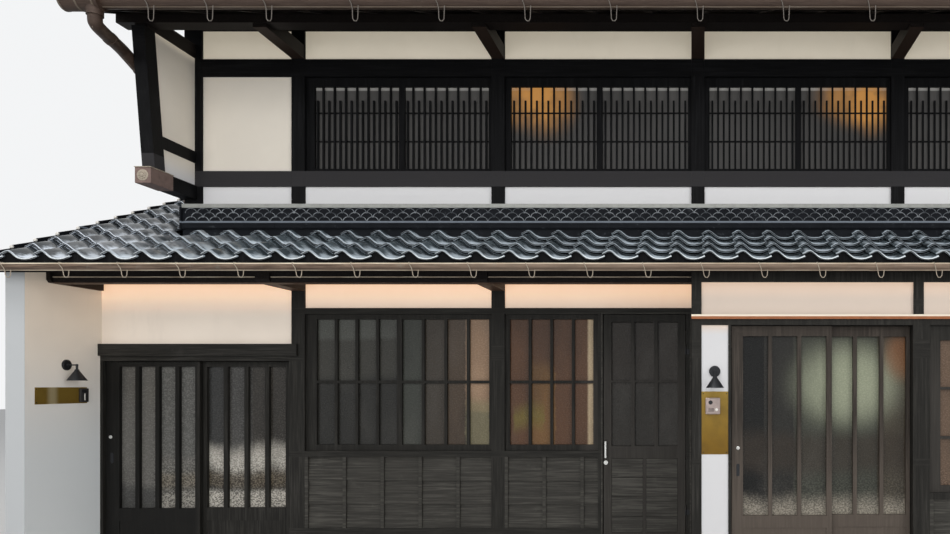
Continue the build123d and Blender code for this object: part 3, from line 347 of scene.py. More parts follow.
def join(objects):
    """Joins pieces into the first."""
    deselect()
    for obj in objects:
        obj.select_set(True)
    bpy.context.view_layer.objects.active = objects[0]
    if len(objects) > 1:
        bpy.ops.object.join()
    return objects[0]


def copy_of(obj, offset=(0, 0, 0)):
    """A copy with its own mesh, moved by an offset."""
    other = obj.copy()
    other.data = obj.data.copy()
    bpy.context.scene.collection.objects.link(other)
    other.location = offset
    select_only(other)
    return settle()


def moulding(points, run, wall=0.0, out=(0, 0, 1)):
    """A profile drawn from point to point and drawn out along a run.

    A closed profile gives a bar; with a wall the profile is an open sheet that
    gets that thickness behind the side that looks towards out.
    """
    deselect()
    bpy.ops.mesh.primitive_plane_add(size=0.01, location=points[0])
    bpy.ops.object.mode_set(mode="EDIT")
    bpy.ops.mesh.merge(type="CENTER")
    for a, b in zip(points, points[1:]):
        bpy.ops.mesh.extrude_vertices_move(
            TRANSFORM_OT_translate={"value": Vector(b) - Vector(a)})
    bpy.ops.mesh.select_all(action="SELECT")
    if not wall:
        bpy.ops.mesh.edge_face_add()
        bpy.ops.mesh.select_all(action="SELECT")
    bpy.ops.mesh.extrude_region_move(TRANSFORM_OT_translate={"value": run})
    bpy.ops.mesh.select_all(action="SELECT")
    if not wall:
        bpy.ops.mesh.normals_make_consistent(inside=False)
        return settle()
    obj = settle()
    looks = sum((face.normal * face.area for face in obj.data.polygons), Vector())
    if looks.dot(Vector(out)) < 0:
        edit(obj)
        bpy.ops.mesh.flip_normals()
        settle()
    return apply_modifier(obj, "SOLIDIFY", thickness=wall, offset=-1)


def cut(obj, point, normal):
    """Cuts off what lies past a plane and closes the cut."""
    edit(obj)
    bpy.ops.mesh.bisect(plane_co=point, plane_no=normal, clear_outer=True,
                        use_fill=True)
    return settle()


def block(lo, hi, bevel, segments=1):
    """A bevelled bar between two corners."""
    deselect()
    lo, hi = Vector(lo), Vector(hi)
    bpy.ops.mesh.primitive_cube_add(size=1, location=(lo + hi) / 2, scale=hi - lo)
    edit(settle())
    bpy.ops.mesh.bevel(offset=bevel, segments=segments)
    return settle()


def turned(centre, axis, rings, sides=20):
    """A round piece: a disc drawn out ring by ring along its axis.

    rings are (distance along the axis, radius); the first is the disc.
    """
    deselect()
    centre, direction = Vector(centre), Vector(axis).normalized()
    height, radius = rings[0]
    turn = Vector((0, 0, 1)).rotation_difference(direction).to_euler()
    bpy.ops.mesh.primitive_circle_add(
        vertices=sides, radius=radius, fill_type="NGON",
        location=centre + direction * height, rotation=turn)
    edit(settle())
    for next_height, next_radius in rings[1:]:
        bpy.ops.mesh.extrude_region_move(
            TRANSFORM_OT_translate={"value": direction * (next_height - height)})
        share = next_radius / radius
        bpy.ops.transform.resize(value=(share, share, share),
                                 center_override=centre + direction * next_height)
        height, radius = next_height, next_radius
    bpy.ops.mesh.select_all(action="SELECT")
    bpy.ops.mesh.normals_make_consistent(inside=False)
    return settle()


def wire(points, thickness, sides, round_order=0):
    """A bent wire along a line of points, or with an order a smooth pipe."""
    curve = bpy.data.curves.new("wire", "CURVE")
    curve.dimensions = "3D"
    curve.bevel_depth = thickness / 2
    curve.bevel_resolution = sides - 2
    curve.use_fill_caps = True
    spline = curve.splines.new("NURBS" if round_order else "POLY")
    spline.points.add(len(points) - 1)
    for spot, point in zip(spline.points, points):
        spot.co = (*point, 1.0)
    if round_order:
        spline.order_u = round_order
        spline.use_endpoint_u = True
        spline.resolution_u = 8
    obj = bpy.data.objects.new("wire", curve)
    bpy.context.scene.collection.objects.link(obj)
    select_only(obj)
    bpy.ops.object.convert(target="MESH")
    return bpy.context.object


def arc(radius, start, end, count):
    """Points on an arc round the origin, between two angles in degrees."""
    angles = [math.radians(start + (end - start) * n / count) for n in range(count + 1)]
    return [(radius * math.cos(a), radius * math.sin(a)) for a in angles]


def smooth(obj, degrees):
    select_only(obj)
    bpy.ops.object.shade_smooth_by_angle(angle=math.radians(degrees))
    return obj


def done(name, pieces, material, body="house", replaces=(), degrees=0):
    """Joins a piece's parts and gives it its name, material, slot and body."""
    obj = join(pieces)
    obj.name = obj.data.name = name
    if degrees:
        smooth(obj, degrees)
    obj.data.materials.clear()
    obj.data.materials.append(finish(material))
    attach(obj, body)
    if replaces:
        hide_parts(*replaces)


# Finishes

# Heights of the level timbers, whose grain runs across
STREET_LEVEL = ((2.245, 2.3), (0.945, 1.0), (1.818, 1.973), (0.19, 0.3), (2.62, 2.86))
UPPER_LEVEL = ((3.405, 3.545), (4.405, 4.562), (4.82, 4.95))


def timber(name, colour, wear, level=(), along="z", specular=0.16):
    """Stained timber with its grain along an axis, and across at level timbers."""
    f = Finish(name, Specular_IOR_Level=specular)
    stretch = {"x": (1.1, 30.0, 30.0), "y": (30.0, 1.1, 30.0), "z": (30.0, 30.0, 1.1)}
    grain = f.noise(2.4, 5.0, 0.65, f.scaled(*stretch[along]), 0.3)
    if level:
        across = f.noise(2.4, 5.0, 0.65, f.scaled(*stretch["x"]), 0.3)
        flat = sum(f.span(f.z, low, high, 0.001) for low, high in level)
        grain = grain + (across - grain) * flat
    broad = f.noise(0.8, 3.0, 0.55)
    rub = f.noise(5.0, 5.0, 0.7)
    pale = times(colour, wear, 0.005)
    tone = f.layers(
        times(colour, 0.55), (f.step(grain, 0.38, 0.66), colour),
        (f.step(grain * 0.6 + broad * 0.4, 0.5, 0.7) * 0.45, pale),
        (f.step(rub, 0.58, 0.8) * 0.4, pale))
    return f.surface(tone, 0.42 + grain * 0.28, grain, 0.3, 0.002)


def stained(name, which, wear, gain=1.0, **more):
    """A timber in one of the house's stains, or in a paler coat of it."""
    stain = getattr(bpy.context.scene.row_house_timber, which)
    return timber(name, times(stain, gain), wear, **more)


def eave_timber(name):
    """Near-black boarding and rafters, with redder undersides of the brackets."""
    f = stained(name, "eave", 2.2, along="y")
    low = f.span(f.z, 2.44, 2.457, 0.004).most(f.span(f.z, 4.55, 4.569, 0.004))
    return f.over(low * (f.step(f.z, 3.5, 3.4) * 0.45 + 0.2), srgb(92, 70, 56))


def sill_timber(name):
    """The upper storey's black timber; its sill is greyer with the light on it."""
    f = stained(name, "upper", 2.0, level=UPPER_LEVEL, specular=0.1)
    sill = f.span(f.z, *UPPER_LEVEL[0], 0.002) * f.step(f.y.absolute(), 3.6, 3.61)
    right = f.step(f.x, CORNER_X[0] - 0.02, CORNER_X[0] - 0.01)
    return f.over(sill * right * 0.6, (0.044, 0.042, 0.044))


def leaf_timber(name):
    """The street leaves: darker at the far left, lighter on the plain door."""
    f = stained(name, "lower", 1.9, 1.2)
    f.over(f.step(f.x, -3.66, -3.68) * 0.6, (0.003, 0.003, 0.003))
    side = f.step(f.x, -0.2, -0.1) * f.step(f.z, 2.2, 1.5)
    return f.over(side * 0.3, (0.07, 0.062, 0.055))


def entry_timber(name):
    """The entrance leaves: browner, with painted shade under the bay's head and painted
    light towards the foot.
    """
    f = timber(name, (0.05, 0.041, 0.034), 1.7)
    # Painted shade under the bay's head
    f.over(f.step(f.z, 1.95, 2.15) * 0.5, (0.018, 0.014, 0.011))
    # Painted light towards the foot
    return f.over(f.step(f.z, 1.4, 0.5) * 0.5, (0.115, 0.093, 0.076))


def plaster(name, colour):
    """Trowelled plaster with faint clouds and brush marks."""
    f = Finish(name, Specular_IOR_Level=0.2)
    clouds = f.noise(1.1, 4.0, 0.55)
    fine = f.noise(38.0, 4.0, 0.6)
    dirt = f.noise(3.5, 5.0, 0.65, f.scaled(z=0.25))
    tone = f.layers(
        times(colour, 0.9), (f.step(clouds, 0.3, 0.75), colour),
        (f.step(dirt, 0.55, 0.8) * 0.3, times(colour, 0.738)))
    return f.surface(tone, 0.9, fine + clouds * 0.4, 0.14, 0.002)


def panel_plaster(name):
    """Panels under the lower eave, with the warm light that falls on their top."""
    walls = bpy.context.scene.row_house_walls
    f = plaster(name, walls.plaster)
    bay = f.step(f.y, -4.15, -4.25)
    f.over(bay, (0.63, 0.53, 0.45))
    f.over(bay * f.step(f.z, 2.1, 2.0), (0.57, 0.565, 0.57))
    front = f.step(f.y, -3.57, -3.6)
    left = f.step(f.z, 1.96, 1.975) * f.step(f.x, -2.5, -2.6)
    warm = f.step(f.z, 2.2, 2.52) * (1 - bay) + f.step(f.z, 2.28, 2.44) * bay * 0.35
    # Painted light: the front panels glow all over, warmest towards their top; the bay
    # glows only faintly at its top.
    light = f.layers(
        srgb(108, 92, 82), (bay, srgb(20, 12, 8)), (warm, walls.glow),
        (f.noise(0.9, 2.0) * 0.12, BLACK))
    return f.glow(front * f.step(f.z, 2.16, 2.18).most(left), light)


def upper_plaster(name):
    """Upper panels, cooler below the lattices and lit from below under the eave."""
    f = plaster(name, bpy.context.scene.row_house_walls.plaster)
    f.over(f.step(f.z, 3.6, 3.4), (0.645, 0.64, 0.645))
    return f.glow(f.step(f.z, 4.5, 4.6), (0.25, 0.22, 0.165))


def side_plaster(name):
    """The party walls in warm plaster: cooler and greyer low at the front and at the
    wing's front edge, with a painted glow of bounced light inside the wing, cooler low
    down.
    """
    f = plaster(name, (0.74, 0.66, 0.56))
    width = f.x.absolute()
    low = f.step(f.z, 2.3, 0.9) * f.step(f.y, -3.63, -3.64) * f.step(width, 4.66, 4.65)
    edge = f.step(f.y, -4.383, -4.385)
    f.over(low, (0.6, 0.61, 0.61)).over(edge, srgb(178, 180, 181))
    # Painted light: a glow of bounced light inside the wing, cooler low down.
    inside = f.step(width, 4.54, 4.53) * (1 - edge) * f.step(f.y, -3.6, -3.62)
    return f.glow(inside, f.mix(low, (0.1, 0.082, 0.065), (0.05, 0.055, 0.055)))


def glazed_tile(name):
    """Dark glaze that varies by tile, with painted sky reflections and highlights,
    painted shade in the aisle and on the tiles' front faces, and a painted highlight on
    the front lip.
    """
    settings = bpy.context.scene.row_house_tiles
    colour = settings.glaze
    f = Finish(name, IOR=1.55)
    main = (f.z > MAIN_TILES_Z) * (f.x > MAIN_X[0] - 0.01)
    out = f.y.absolute() - main * (MAIN_EAVE - PENT_EAVE)
    near = PENT_EAVE + TILE_OUT - FRONT_Y
    column = (f.x - FIRST_LEFT) / settings.pitch
    column = column + ((f.x - MAIN_TILES_X[0]) / MAIN_PITCH - column) * main
    row = (near - out) / settings.course
    tile = f.node("ShaderNodeCombineXYZ", {0: column.floor(), 1: row.floor()})[0]
    each = f.node("ShaderNodeTexWhiteNoise", {"Vector": tile})[0]
    across, up = column.fraction(), row.fraction()

    clouds = f.noise(9.0, 4.0, 0.65)
    run = f.noise(5.0, 4.0, 0.6, f.scaled(9.0))
    spots = f.noise(26.0, 3.0, 0.7)
    # Painted shade darkens the aisle's tiles.
    aisle = f.step(f.x, -3.5, -4.2) * (1 - main)
    # Pale patches at the junction: partly dust, partly a painted sky sheen.
    worn = f.span(f.x, -4.25, -3.1, 0.4) * (1 - main)
    dark = times(colour, 0.25)
    # Painted reflection of the sky in the troughs, and painted highlights on each
    # crest's flank, along each tile's lower edge and on the aisle's rims.
    sky = f.span(across + (clouds - 0.5) * 0.45, 0.5, 0.86, 0.1) * f.span(
        up + (spots - 0.5) * 0.5, 0.1, 0.62, 0.14)
    crest = f.span(across + (spots - 0.5) * 0.1, 0.1, 0.2, 0.05) * f.span(
        up, 0.05, 0.8, 0.1)
    foot = f.span(up, 0.0, 0.12, 0.02) * (each * 0.3 + 0.5) * (1 - aisle)
    rim = f.span(up, 0.0, 0.05, 0.01) * aisle * 0.8
    shine = sky * (each * 0.45 + 0.55) + crest * 0.45 + foot + rim

    # Painted shade on the front and end faces of the tiles, and a painted highlight on
    # the front row's lip, dimmer on the crests.
    _, facing, upward = f.split(f.normal)
    end = f.step(facing.absolute(), 0.78, 0.93)
    front = f.step(out, near - 0.006, near - 0.0035)
    trough = pent_z(PENT_EAVE + TILE_OUT) + TROUGH_UP
    rise = main_z(MAIN_EAVE + TILE_OUT) + TROUGH_UP - trough
    high = f.step(f.z - main * rise - trough, 0.012, 0.05)
    tone = f.layers(
        times(colour, 0.75),
        (each, times(colour, 1.9)),
        (f.step(clouds, 0.48, 0.7) * 0.7, times(colour, 3.0, 0.02)),
        (aisle * 0.8, dark),
        (worn * (f.step(clouds, 0.3, 0.6) * 0.4 + each * 0.3), srgb(158, 160, 163)),
        (f.step(run, 0.55, 0.75) * 0.6, dark),
        (shine.clamped(), f.mix(aisle, srgb(190, 201, 210), srgb(226, 235, 246))),
        (end.most(front), (0.004, 0.0045, 0.005)),
        (front * f.step(upward, -0.35, -0.1),
         f.mix(high * 0.7, srgb(214, 220, 223), srgb(120, 128, 134))))
    rough = 0.1 + f.step(clouds, 0.35, 0.8) * 0.14 + end * 0.4
    return f.surface(tone, rough, clouds * 0.6 + run * 0.4, 0.22, 0.006)


def band_tile(name):
    """Dark unglazed edge tiles of the head band and the ridges, with a painted
    highlight on the band's upper laid course.
    """
    f = Finish(name, Specular_IOR_Level=0.04)
    clouds = f.noise(6.0, 5.0, 0.65)
    wear = f.noise(24.0, 4.0, 0.6)
    tone = f.layers(
        (0.003, 0.0034, 0.0042), (clouds, (0.014, 0.0155, 0.019)),
        # Painted highlight on the band's upper laid course
        (f.span(f.z, 3.027, 3.044, 0.001) * 0.75, srgb(120, 127, 136)),
        (f.step(wear, 0.6, 0.8) * 0.4, (0.1, 0.11, 0.12)))
    return f.surface(tone, 0.25 + wear * 0.25, wear + clouds, 0.15, 0.003)


def scale_edge(name):
    """Rims of the scales, worn pale in places."""
    f = Finish(name, Specular_IOR_Level=0.2)
    wear = f.noise(14.0, 4.0, 0.65)
    tone = f.mix(f.step(wear, 0.36, 0.66), (0.05, 0.056, 0.064), (0.29, 0.31, 0.33))
    return f.surface(tone, 0.25 + wear * 0.2)


def patina(name, dark=(0.09, 0.058, 0.04), pale=(0.25, 0.172, 0.125)):
    """Weathered sheet copper with streaks and specks, its tone varied by place."""
    f = Finish(name, Metallic=0.3)
    streak = f.noise(3.0, 5.0, 0.65, f.scaled(1.4, 8.0, 26.0))
    spot = f.noise(13.0, 5.0, 0.7)
    tone = f.layers(
        dark, (f.step(streak, 0.35, 0.7), pale),
        (f.step(spot, 0.58, 0.75) * 0.5, (0.24, 0.235, 0.2)),
        (f.step(f.x, -2.2, -0.6) * f.step(f.z, 3.0, 2.9) * 0.35, srgb(160, 140, 122)),
        (f.step(f.x, 1.0, 3.0) * f.step(f.z, 4.4, 4.5) * 0.2, srgb(150, 128, 112)),
        (f.span(f.z, 3.27, 3.43, 0.004) * 0.45, srgb(70, 58, 51)),
        (f.step(f.z, 2.53, 2.51) * 0.35, srgb(58, 44, 36)),
        (f.step(f.z, 3.5, 3.6) * 0.86, srgb(52, 38, 31)))
    return f.surface(tone, 0.42 + spot * 0.22, streak + spot * 0.4, 0.12, 0.003)


def metal(name, colour, roughness, metallic, worn=0.6):
    """A metal or enamel with faint handling marks."""
    f = Finish(name, Metallic=metallic)
    mark = f.noise(22.0, 4.0, 0.6)
    tone = f.layers(
        colour, (f.step(mark, 0.35, 0.8) * 0.6, times(colour, worn)),
        (f.noise(4.0) * 0.3, times(colour, 0.8)))
    rough = roughness - 0.06 + mark * 0.14
    return f.surface(tone, rough, f.noise(160.0, 2.0), 0.06, 0.0006)


def hook_metal(name):
    """Wire in pale metal, painted brighter with its highlights over the lower gutter,
    duller over the upper one.
    """
    # The pale colour is partly the metal and partly a painted highlight
    f = metal(name, srgb(168, 156, 140), 0.35, 0.4)
    return f.over(f.step(f.z, 4.0, 4.1), srgb(104, 98, 92))


def copper_strip(name):
    """Copper flashing: its upper face pale with sky, its lower face orange-brown."""
    f = metal(name, srgb(158, 98, 62), 0.42, 0.35)
    return f.over(f.step(f.z, 2.158, 2.161), srgb(232, 218, 198))


def device(name):
    """Door station in pinkish grey at the entrance, dark grey on the wing."""
    f = metal(name, srgb(168, 152, 146), 0.4, 0.35)
    return f.over(f.step(f.x, 0.1, -0.1), srgb(52, 50, 50))


def brass(name):
    """Aged brass: olive gold, brushed, darker downwards, with a painted highlight in a
    bright streak.
    """
    f = Finish(name, Metallic=0.55)
    mark = f.noise(5.0, 4.0, 0.6)
    brush = f.noise(7.0, 3.0, 0.6, f.scaled(3.0, 3.0, 70.0))
    # Painted highlight: a bright streak on the wing's plate
    streak = f.span(f.y, -4.17, -4.09, 0.03) * f.step(f.x, -4.4, -4.5)
    tone = f.layers(
        srgb(118, 88, 22), (f.step(f.z, 1.0, 1.62), srgb(150, 122, 52)),
        (f.step(mark, 0.4, 0.8) * 0.5, srgb(82, 62, 30)),
        (streak * 0.8, srgb(206, 190, 150)))
    return f.surface(tone, 0.26 + mark * 0.2, brush, 0.06, 0.001)


def stone(name):
    """Pale speckled stone of the slab."""
    f = Finish(name)
    grain = f.noise(30.0, 6.0, 0.7)
    tone = f.layers(
        (0.24, 0.24, 0.235), (grain, (0.42, 0.41, 0.4)),
        (f.step(f.noise(1.5), 0.3, 0.8) * 0.4, (0.3, 0.28, 0.26)))
    return f.surface(tone, 0.9, grain, 0.3, 0.003)


# What the patterned panes of the street front show, in zones, the bright ones painted
# light
# and reflection: limits in X and Z, softness, strength and colour out of 255
PANE_ZONES = (
    ((-4.7, -3.7), (0.4, 1.9), 0.02, 1.0, (90, 88, 84)),
    ((-4.05, -3.7), (0.95, 1.9), 0.02, 0.7, (82, 82, 79)),
    ((-4.7, -4.05), (0.4, 0.66), 0.06, 0.8, (54, 54, 53)),
    ((-3.68, -3.41), (0.4, 1.9), 0.01, 1.0, (48, 48, 47)),
    ((-3.41, -3.2), (0.4, 1.9), 0.01, 1.0, (66, 65, 63)),
    ((-3.2, -2.85), (0.4, 1.9), 0.01, 1.0, (50, 47, 43)),
    ((-3.68, -2.85), (0.81, 1.03), 0.08, 0.8, (172, 167, 157)),
    ((-4.05, -3.7), (0.5, 0.92), 0.08, 0.5, (98, 96, 91)),
    ((-4.05, -2.85), (0.66, 0.8), 0.04, 0.5, (92, 82, 66)),
    ((-4.05, -2.85), (0.47, 0.63), 0.03, 0.75, (162, 157, 147)),
    ((-4.05, -3.7), (0.4, 0.68), 0.04, 0.5, (58, 56, 53)),
    ((-2.68, -1.84), (1.0, 2.25), 0.01, 0.9, (30, 30, 28)),
    ((-2.68, -1.84), (1.66, 2.25), 0.06, 0.8, (54, 53, 48)),
    ((-2.68, -1.84), (2.02, 2.25), 0.03, 0.6, (78, 80, 75)),
    ((-1.84, -1.62), (1.0, 2.25), 0.01, 0.85, (50, 53, 48)),
    ((-1.62, -1.42), (1.0, 2.25), 0.01, 0.85, (52, 46, 39)),
    ((-1.42, -1.22), (1.0, 2.25), 0.01, 0.85, (66, 53, 41)),
    ((-1.22, -1.0), (1.35, 2.25), 0.02, 0.9, (138, 111, 87)),
    ((-1.22, -1.0), (1.0, 1.45), 0.06, 0.7, (120, 112, 84)),
    ((-0.86, -0.05), (1.0, 2.25), 0.01, 0.95, (80, 54, 36)),
    ((-0.62, -0.4), (1.0, 1.75), 0.08, 0.6, (112, 82, 44)),
    ((-0.78, -0.5), (1.22, 1.38), 0.08, 0.7, (100, 90, 40)),
    ((-0.1, -0.05), (1.0, 2.25), 0.008, 0.9, (172, 152, 122)),
    ((0.08, 0.73), (1.0, 2.2), 0.01, 0.95, (34, 29, 24)),
    ((0.08, 0.73), (1.0, 1.6), 0.05, 0.7, (38, 36, 32)),
    ((1.2, 1.46), (0.5, 2.1), 0.01, 1.0, (12, 12, 11)),
    ((1.46, 1.7), (0.5, 2.1), 0.02, 1.0, (32, 31, 28)),
    ((1.7, 2.68), (0.5, 2.1), 0.02, 1.0, (50, 51, 44)),
    ((2.4, 2.68), (0.5, 2.1), 0.02, 0.9, (56, 50, 40)),
    ((1.2, 2.68), (0.9, 1.2), 0.08, 0.7, (44, 37, 30)),
    ((1.2, 2.68), (0.44, 0.67), 0.09, 0.75, (130, 123, 111)),
    ((2.78, 4.53), (0.7, 2.1), 0.01, 0.9, (90, 72, 58)),
)
# Round glows in them: centre, radii, strength and colour
PANE_GLOWS = (
    ((2.15, 1.61), (0.72, 0.56), 0.95, (132, 136, 115)),
    ((2.61, 1.84), (0.26, 0.34), 0.6, (124, 80, 46)),
    ((-1.12, 1.62), (0.16, 0.3), 0.5, (150, 124, 100)),
)
# The painted glows of lamps lit behind the lattices: centre and radii
UPPER_GLOWS = (
    ((-0.66, 4.22), (0.4, 0.4)), ((-0.46, 4.2), (0.36, 0.46)),
    ((2.34, 4.22), (0.5, 0.36)), ((2.5, 4.16), (0.28, 0.38)),
)


def hammered_glass(name):
    """Patterned glass: what it shows, broken up by its grit where light is low."""
    f = Finish(name, Specular_IOR_Level=0.3)
    cells = f.node("ShaderNodeTexVoronoi", {"Vector": f.place, "Scale": 80.0})[0]
    speck = f.noise(64.0, 2.0, 0.6, f.scaled(z=1.35))
    drift = f.noise(1.6, 4.0, 0.55, f.scaled(1.6, 1.0, 0.7))
    ripple = f.noise(9.0, 3.0, 0.6, f.scaled(z=2.6))
    front = f.step(f.y, 0.1, 0.0)
    tone = srgb(66, 63, 58)
    # What shows through the panes, with bands of painted light and reflection
    for x, z, soft, strength, colour in PANE_ZONES:
        mask = f.span(f.x + (ripple - 0.5) * soft, *x, 0.012) * f.span(
            f.z + (drift - 0.5) * soft * 3, *z, soft)
        tone = f.mix(mask * front * strength, tone, srgb(*colour))
    for centre, radius, strength, colour in PANE_GLOWS:
        mask = f.patch(centre, radius).power(3.4) * front * strength
        tone = f.mix(mask, tone, srgb(*colour))
    tone = f.layers(
        tone, (f.step(drift, 0.5, 0.8) * 0.2, srgb(90, 87, 82)),
        (f.step(drift, 0.5, 0.25) * 0.35, srgb(26, 25, 24)))
    left = f.span(f.x, -4.08, -2.8, 0.01)
    plain = f.step(f.x, -4.05, -4.1)
    grit = f.step(f.z, 1.0, 0.7) * (0.34 - plain * 0.28) + left * 0.15 + 0.07
    tone = f.mix(grit * front, tone, f.step(speck, 0.37, 0.62), "OVERLAY")
    return f.surface(tone, 0.16 + speck * 0.2, cells * 0.8 + speck * 0.4, 0.35, 0.003)


def upper_glass(name):
    """Matt glass before dark rooms, with painted glows of lamps lit behind it and a
    painted band of light along its top.
    """
    f = Finish(name, Specular_IOR_Level=0.2)
    drift = f.noise(1.1)
    blotch = f.noise(5.5, 3.0, 0.55)
    tone = f.layers(
        srgb(62, 61, 60), (drift, srgb(88, 86, 84)),
        # A painted band of light along the top
        (f.step(f.z, 4.295, 4.302), srgb(150, 148, 144)))
    # Painted light: warm glows of lamps lit behind the glass
    lamps = sum(f.patch(*spot).power(2.2) * 0.7 for spot in UPPER_GLOWS)
    lamps = (lamps * (f.step(blotch, 0.25, 0.7) * 0.6 + 0.4)).clamped()
    f.surface(f.mix(lamps, tone, srgb(92, 65, 36)), 0.34 + drift * 0.12)
    return f.glow(lamps, srgb(164, 116, 60))


def floor_finish(name):
    """Plain pale floor of the stage."""
    f = Finish(name)
    tone = f.mix(f.noise(0.5, 2.0) * 0.3, (0.74, 0.74, 0.73), (0.7, 0.7, 0.69))
    return f.surface(tone, 0.9)


RECIPES = {
    "black_timber": sill_timber,
    "black_bars": lambda name: stained(name, "upper", 1.6, specular=0.08),
    "street_timber": lambda name: stained(name, "lower", 2.0, 1.3, level=STREET_LEVEL),
    "street_leaves": leaf_timber,
    "entry_leaves": entry_timber,
    "street_boards": lambda name: stained(name, "lower", 2.0, 3.0, along="x"),
    "eave_timber": eave_timber,
    "room_timber": lambda name: timber(name, (0.26, 0.16, 0.08), 1.4, along="y"),
    "panel_plaster": panel_plaster,
    "upper_plaster": upper_plaster,
    "side_plaster": side_plaster,
    "glazed_tile": glazed_tile,
    "band_tile": band_tile,
    "scale_edge": scale_edge,
    "patina": patina,
    # Pale copper for the beads, seam, slats and cap, painted paler with the highlights
    # that catch them
    "pale_patina": lambda name: patina(name, srgb(192, 174, 150), srgb(240, 228, 206)),
    "old_sleeve": lambda name: metal(name, srgb(116, 96, 89), 0.6, 0.1, 0.45),
    "brass": brass,
    "stone": stone,
    "hammered_glass": hammered_glass,
    "upper_glass": upper_glass,
    "copper_strip": copper_strip,
    "device": device,
    "dark_steel": lambda name: metal(name, (0.016, 0.017, 0.02), 0.45, 0.3),
    "lens": lambda name: metal(name, (0.01, 0.01, 0.012), 0.12, 0.0),
    "pale_enamel": lambda name: metal(name, srgb(222, 218, 210), 0.35, 0.1, 0.85),
    "steel": lambda name: metal(name, srgb(216, 216, 212), 0.28, 0.5, 0.8),
    "flashing": lambda name: metal(name, srgb(150, 151, 146), 0.45, 0.3),
    "hook_metal": hook_metal,
    "floor": floor_finish,
}

# The solids that get each finish
SOLIDS = {
    "stone": "floor_slab",
    "street_timber": "street_frame bay_frame rear_frame",
    "street_boards": "thresholds dado_boards",
    "street_leaves": "street_sashes rear_sashes left_door_a left_door_b side_door",
    "entry_leaves": "entry_door_a entry_door_b",
    "hammered_glass": "lower_glass left_door_a_glass left_door_b_glass "
                      "entry_door_a_glass entry_door_b_glass side_door_glass",
    "black_timber": "upper_street_frame wing_frame",
    "black_bars": "upper_lattices",
    "upper_glass": "upper_glass",
    "room_timber": "floor_beams upper_floor",
    "eave_timber": "pent_deck main_deck eave_purlins",
    "panel_plaster": "lower_plaster",
    "upper_plaster": "upper_plaster",
    "side_plaster": "party_walls upper_left_wall",
    "glazed_tile": "pent_tiles main_tiles",
    "band_tile": "head_band ridges",
    "patina": "gutters downpipe",
    "copper_strip": "copper_strip",
    "flashing": "flashing",
    "brass": "brass_plates",
    "device": "door_devices",
    "steel": "side_door_pull",
    "dark_steel": "side_hinges wall_lamps",
}


class ROWHOUSE_OT_solids(Operator):
    """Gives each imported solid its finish"""
    bl_idname = "row_house.solids"
    bl_label = "Finish the solids"

    def execute(self, context):
        finish_of = {node: name for name, nodes in SOLIDS.items()
                     for node in nodes.split()}
        for node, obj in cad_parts.items():
            if node not in finish_of:
                raise RuntimeError("no finish is named for the node " + node)
            for slot in obj.material_slots:
                slot.material = finish(finish_of[node])
            if not obj.material_slots:
                obj.data.materials.append(finish(finish_of[node]))
        return {"FINISHED"}


# Roof tiles


def slopes():
    """Every slope: its roof, eave and side, its ends in X, its first tile and pitch."""
    pitch = bpy.context.scene.row_house_tiles.pitch
    for sign in (1, -1):
        yield pent_z, PENT_EAVE, sign, (AISLE_LEFT, HOUSE_X[1]), FIRST_LEFT, pitch
    for sign in (1, -1):
        yield main_z, MAIN_EAVE, sign, MAIN_X, MAIN_TILES_X[0], MAIN_PITCH


def tile_field(roof, eave, sign, x_range, left, pitch, top_out, bevel=0.0):
    """Courses of wave tiles on one slope, cut at its edges."""
    settings = bpy.context.scene.row_house_tiles
    course = settings.course
    near = eave + TILE_OUT
    rows = math.ceil((near - top_out) / course - 0.02)
    trough = roof(near) + TROUGH_UP
    edge = sign * (FRONT_Y - near)
    points = [(left + share * pitch, edge, trough + up * settings.wave)
              for share, up in WAVE]
    reach = course * 1.12
    tile = moulding(points, (0, sign * reach, SLOPE * reach - TILE_DROP),
                    settings.thickness)
    if bevel:
        apply_modifier(tile, "BEVEL", width=bevel, segments=1, limit_method="ANGLE")
    up = Vector((0, sign * course, SLOPE * course))
    last = cut(copy_of(tile, up * (rows - 1)), (0, sign * (FRONT_Y - top_out), 0),
               (0, sign, 0))
    column = join([array(tile, rows - 1, up), last])

    # Whole columns from low to high, and cut ones where room is left beside them
    low = math.ceil((x_range[0] - left) / pitch)
    high = math.floor((x_range[1] - left) / pitch - TILE_SPAN)
    sides = [(high + 1, x_range[1], 1)]
    if left + (high + 2) * pitch < x_range[1] - 0.004:
        sides.append((high + 2, x_range[1], 1))
    if left + (low - 1 + TILE_SPAN) * pitch > x_range[0] + 0.02:
        sides.append((low - 1, x_range[0], -1))
    edges = [cut(copy_of(column, (n * pitch, 0, 0)), (limit, 0, 0), (way, 0, 0))
             for n, limit, way in sides]
    first = copy_of(column, (low * pitch, 0, 0))
    bpy.data.objects.remove(column)
    return join([array(first, high - low + 1, (pitch, 0, 0))] + edges)


class ROWHOUSE_OT_tiles(Operator):
    """Lays the wave tiles of all slopes"""
    bl_idname = "row_house.tiles"
    bl_label = "Roof tiles"

    def execute(self, context):
        pitch = context.scene.row_house_tiles.pitch
        pent_x = (CORNER_X[0] + 0.002, HOUSE_X[1] - 0.005)
        aisle_x = (AISLE_LEFT + 0.004, CORNER_X[0] - 0.001)
        pent = [tile_field(pent_z, PENT_EAVE, sign, x_range, FIRST_LEFT, pitch, top,
                           0.003)
                for sign in (1, -1)
                for x_range, top in ((pent_x, BAND_OUT), (aisle_x, RIDGE_SIDE))]
        done("lower_roof_tiles", pent, "glazed_tile",
             replaces=["pent_tiles"], degrees=46)
        main = [tile_field(main_z, MAIN_EAVE, sign, MAIN_TILES_X, MAIN_TILES_X[0],
                           MAIN_PITCH, RIDGE_SIDE) for sign in (1, -1)]
        done("main_roof_tiles", main, "glazed_tile",
             replaces=["main_tiles"], degrees=46)
        return {"FINISHED"}


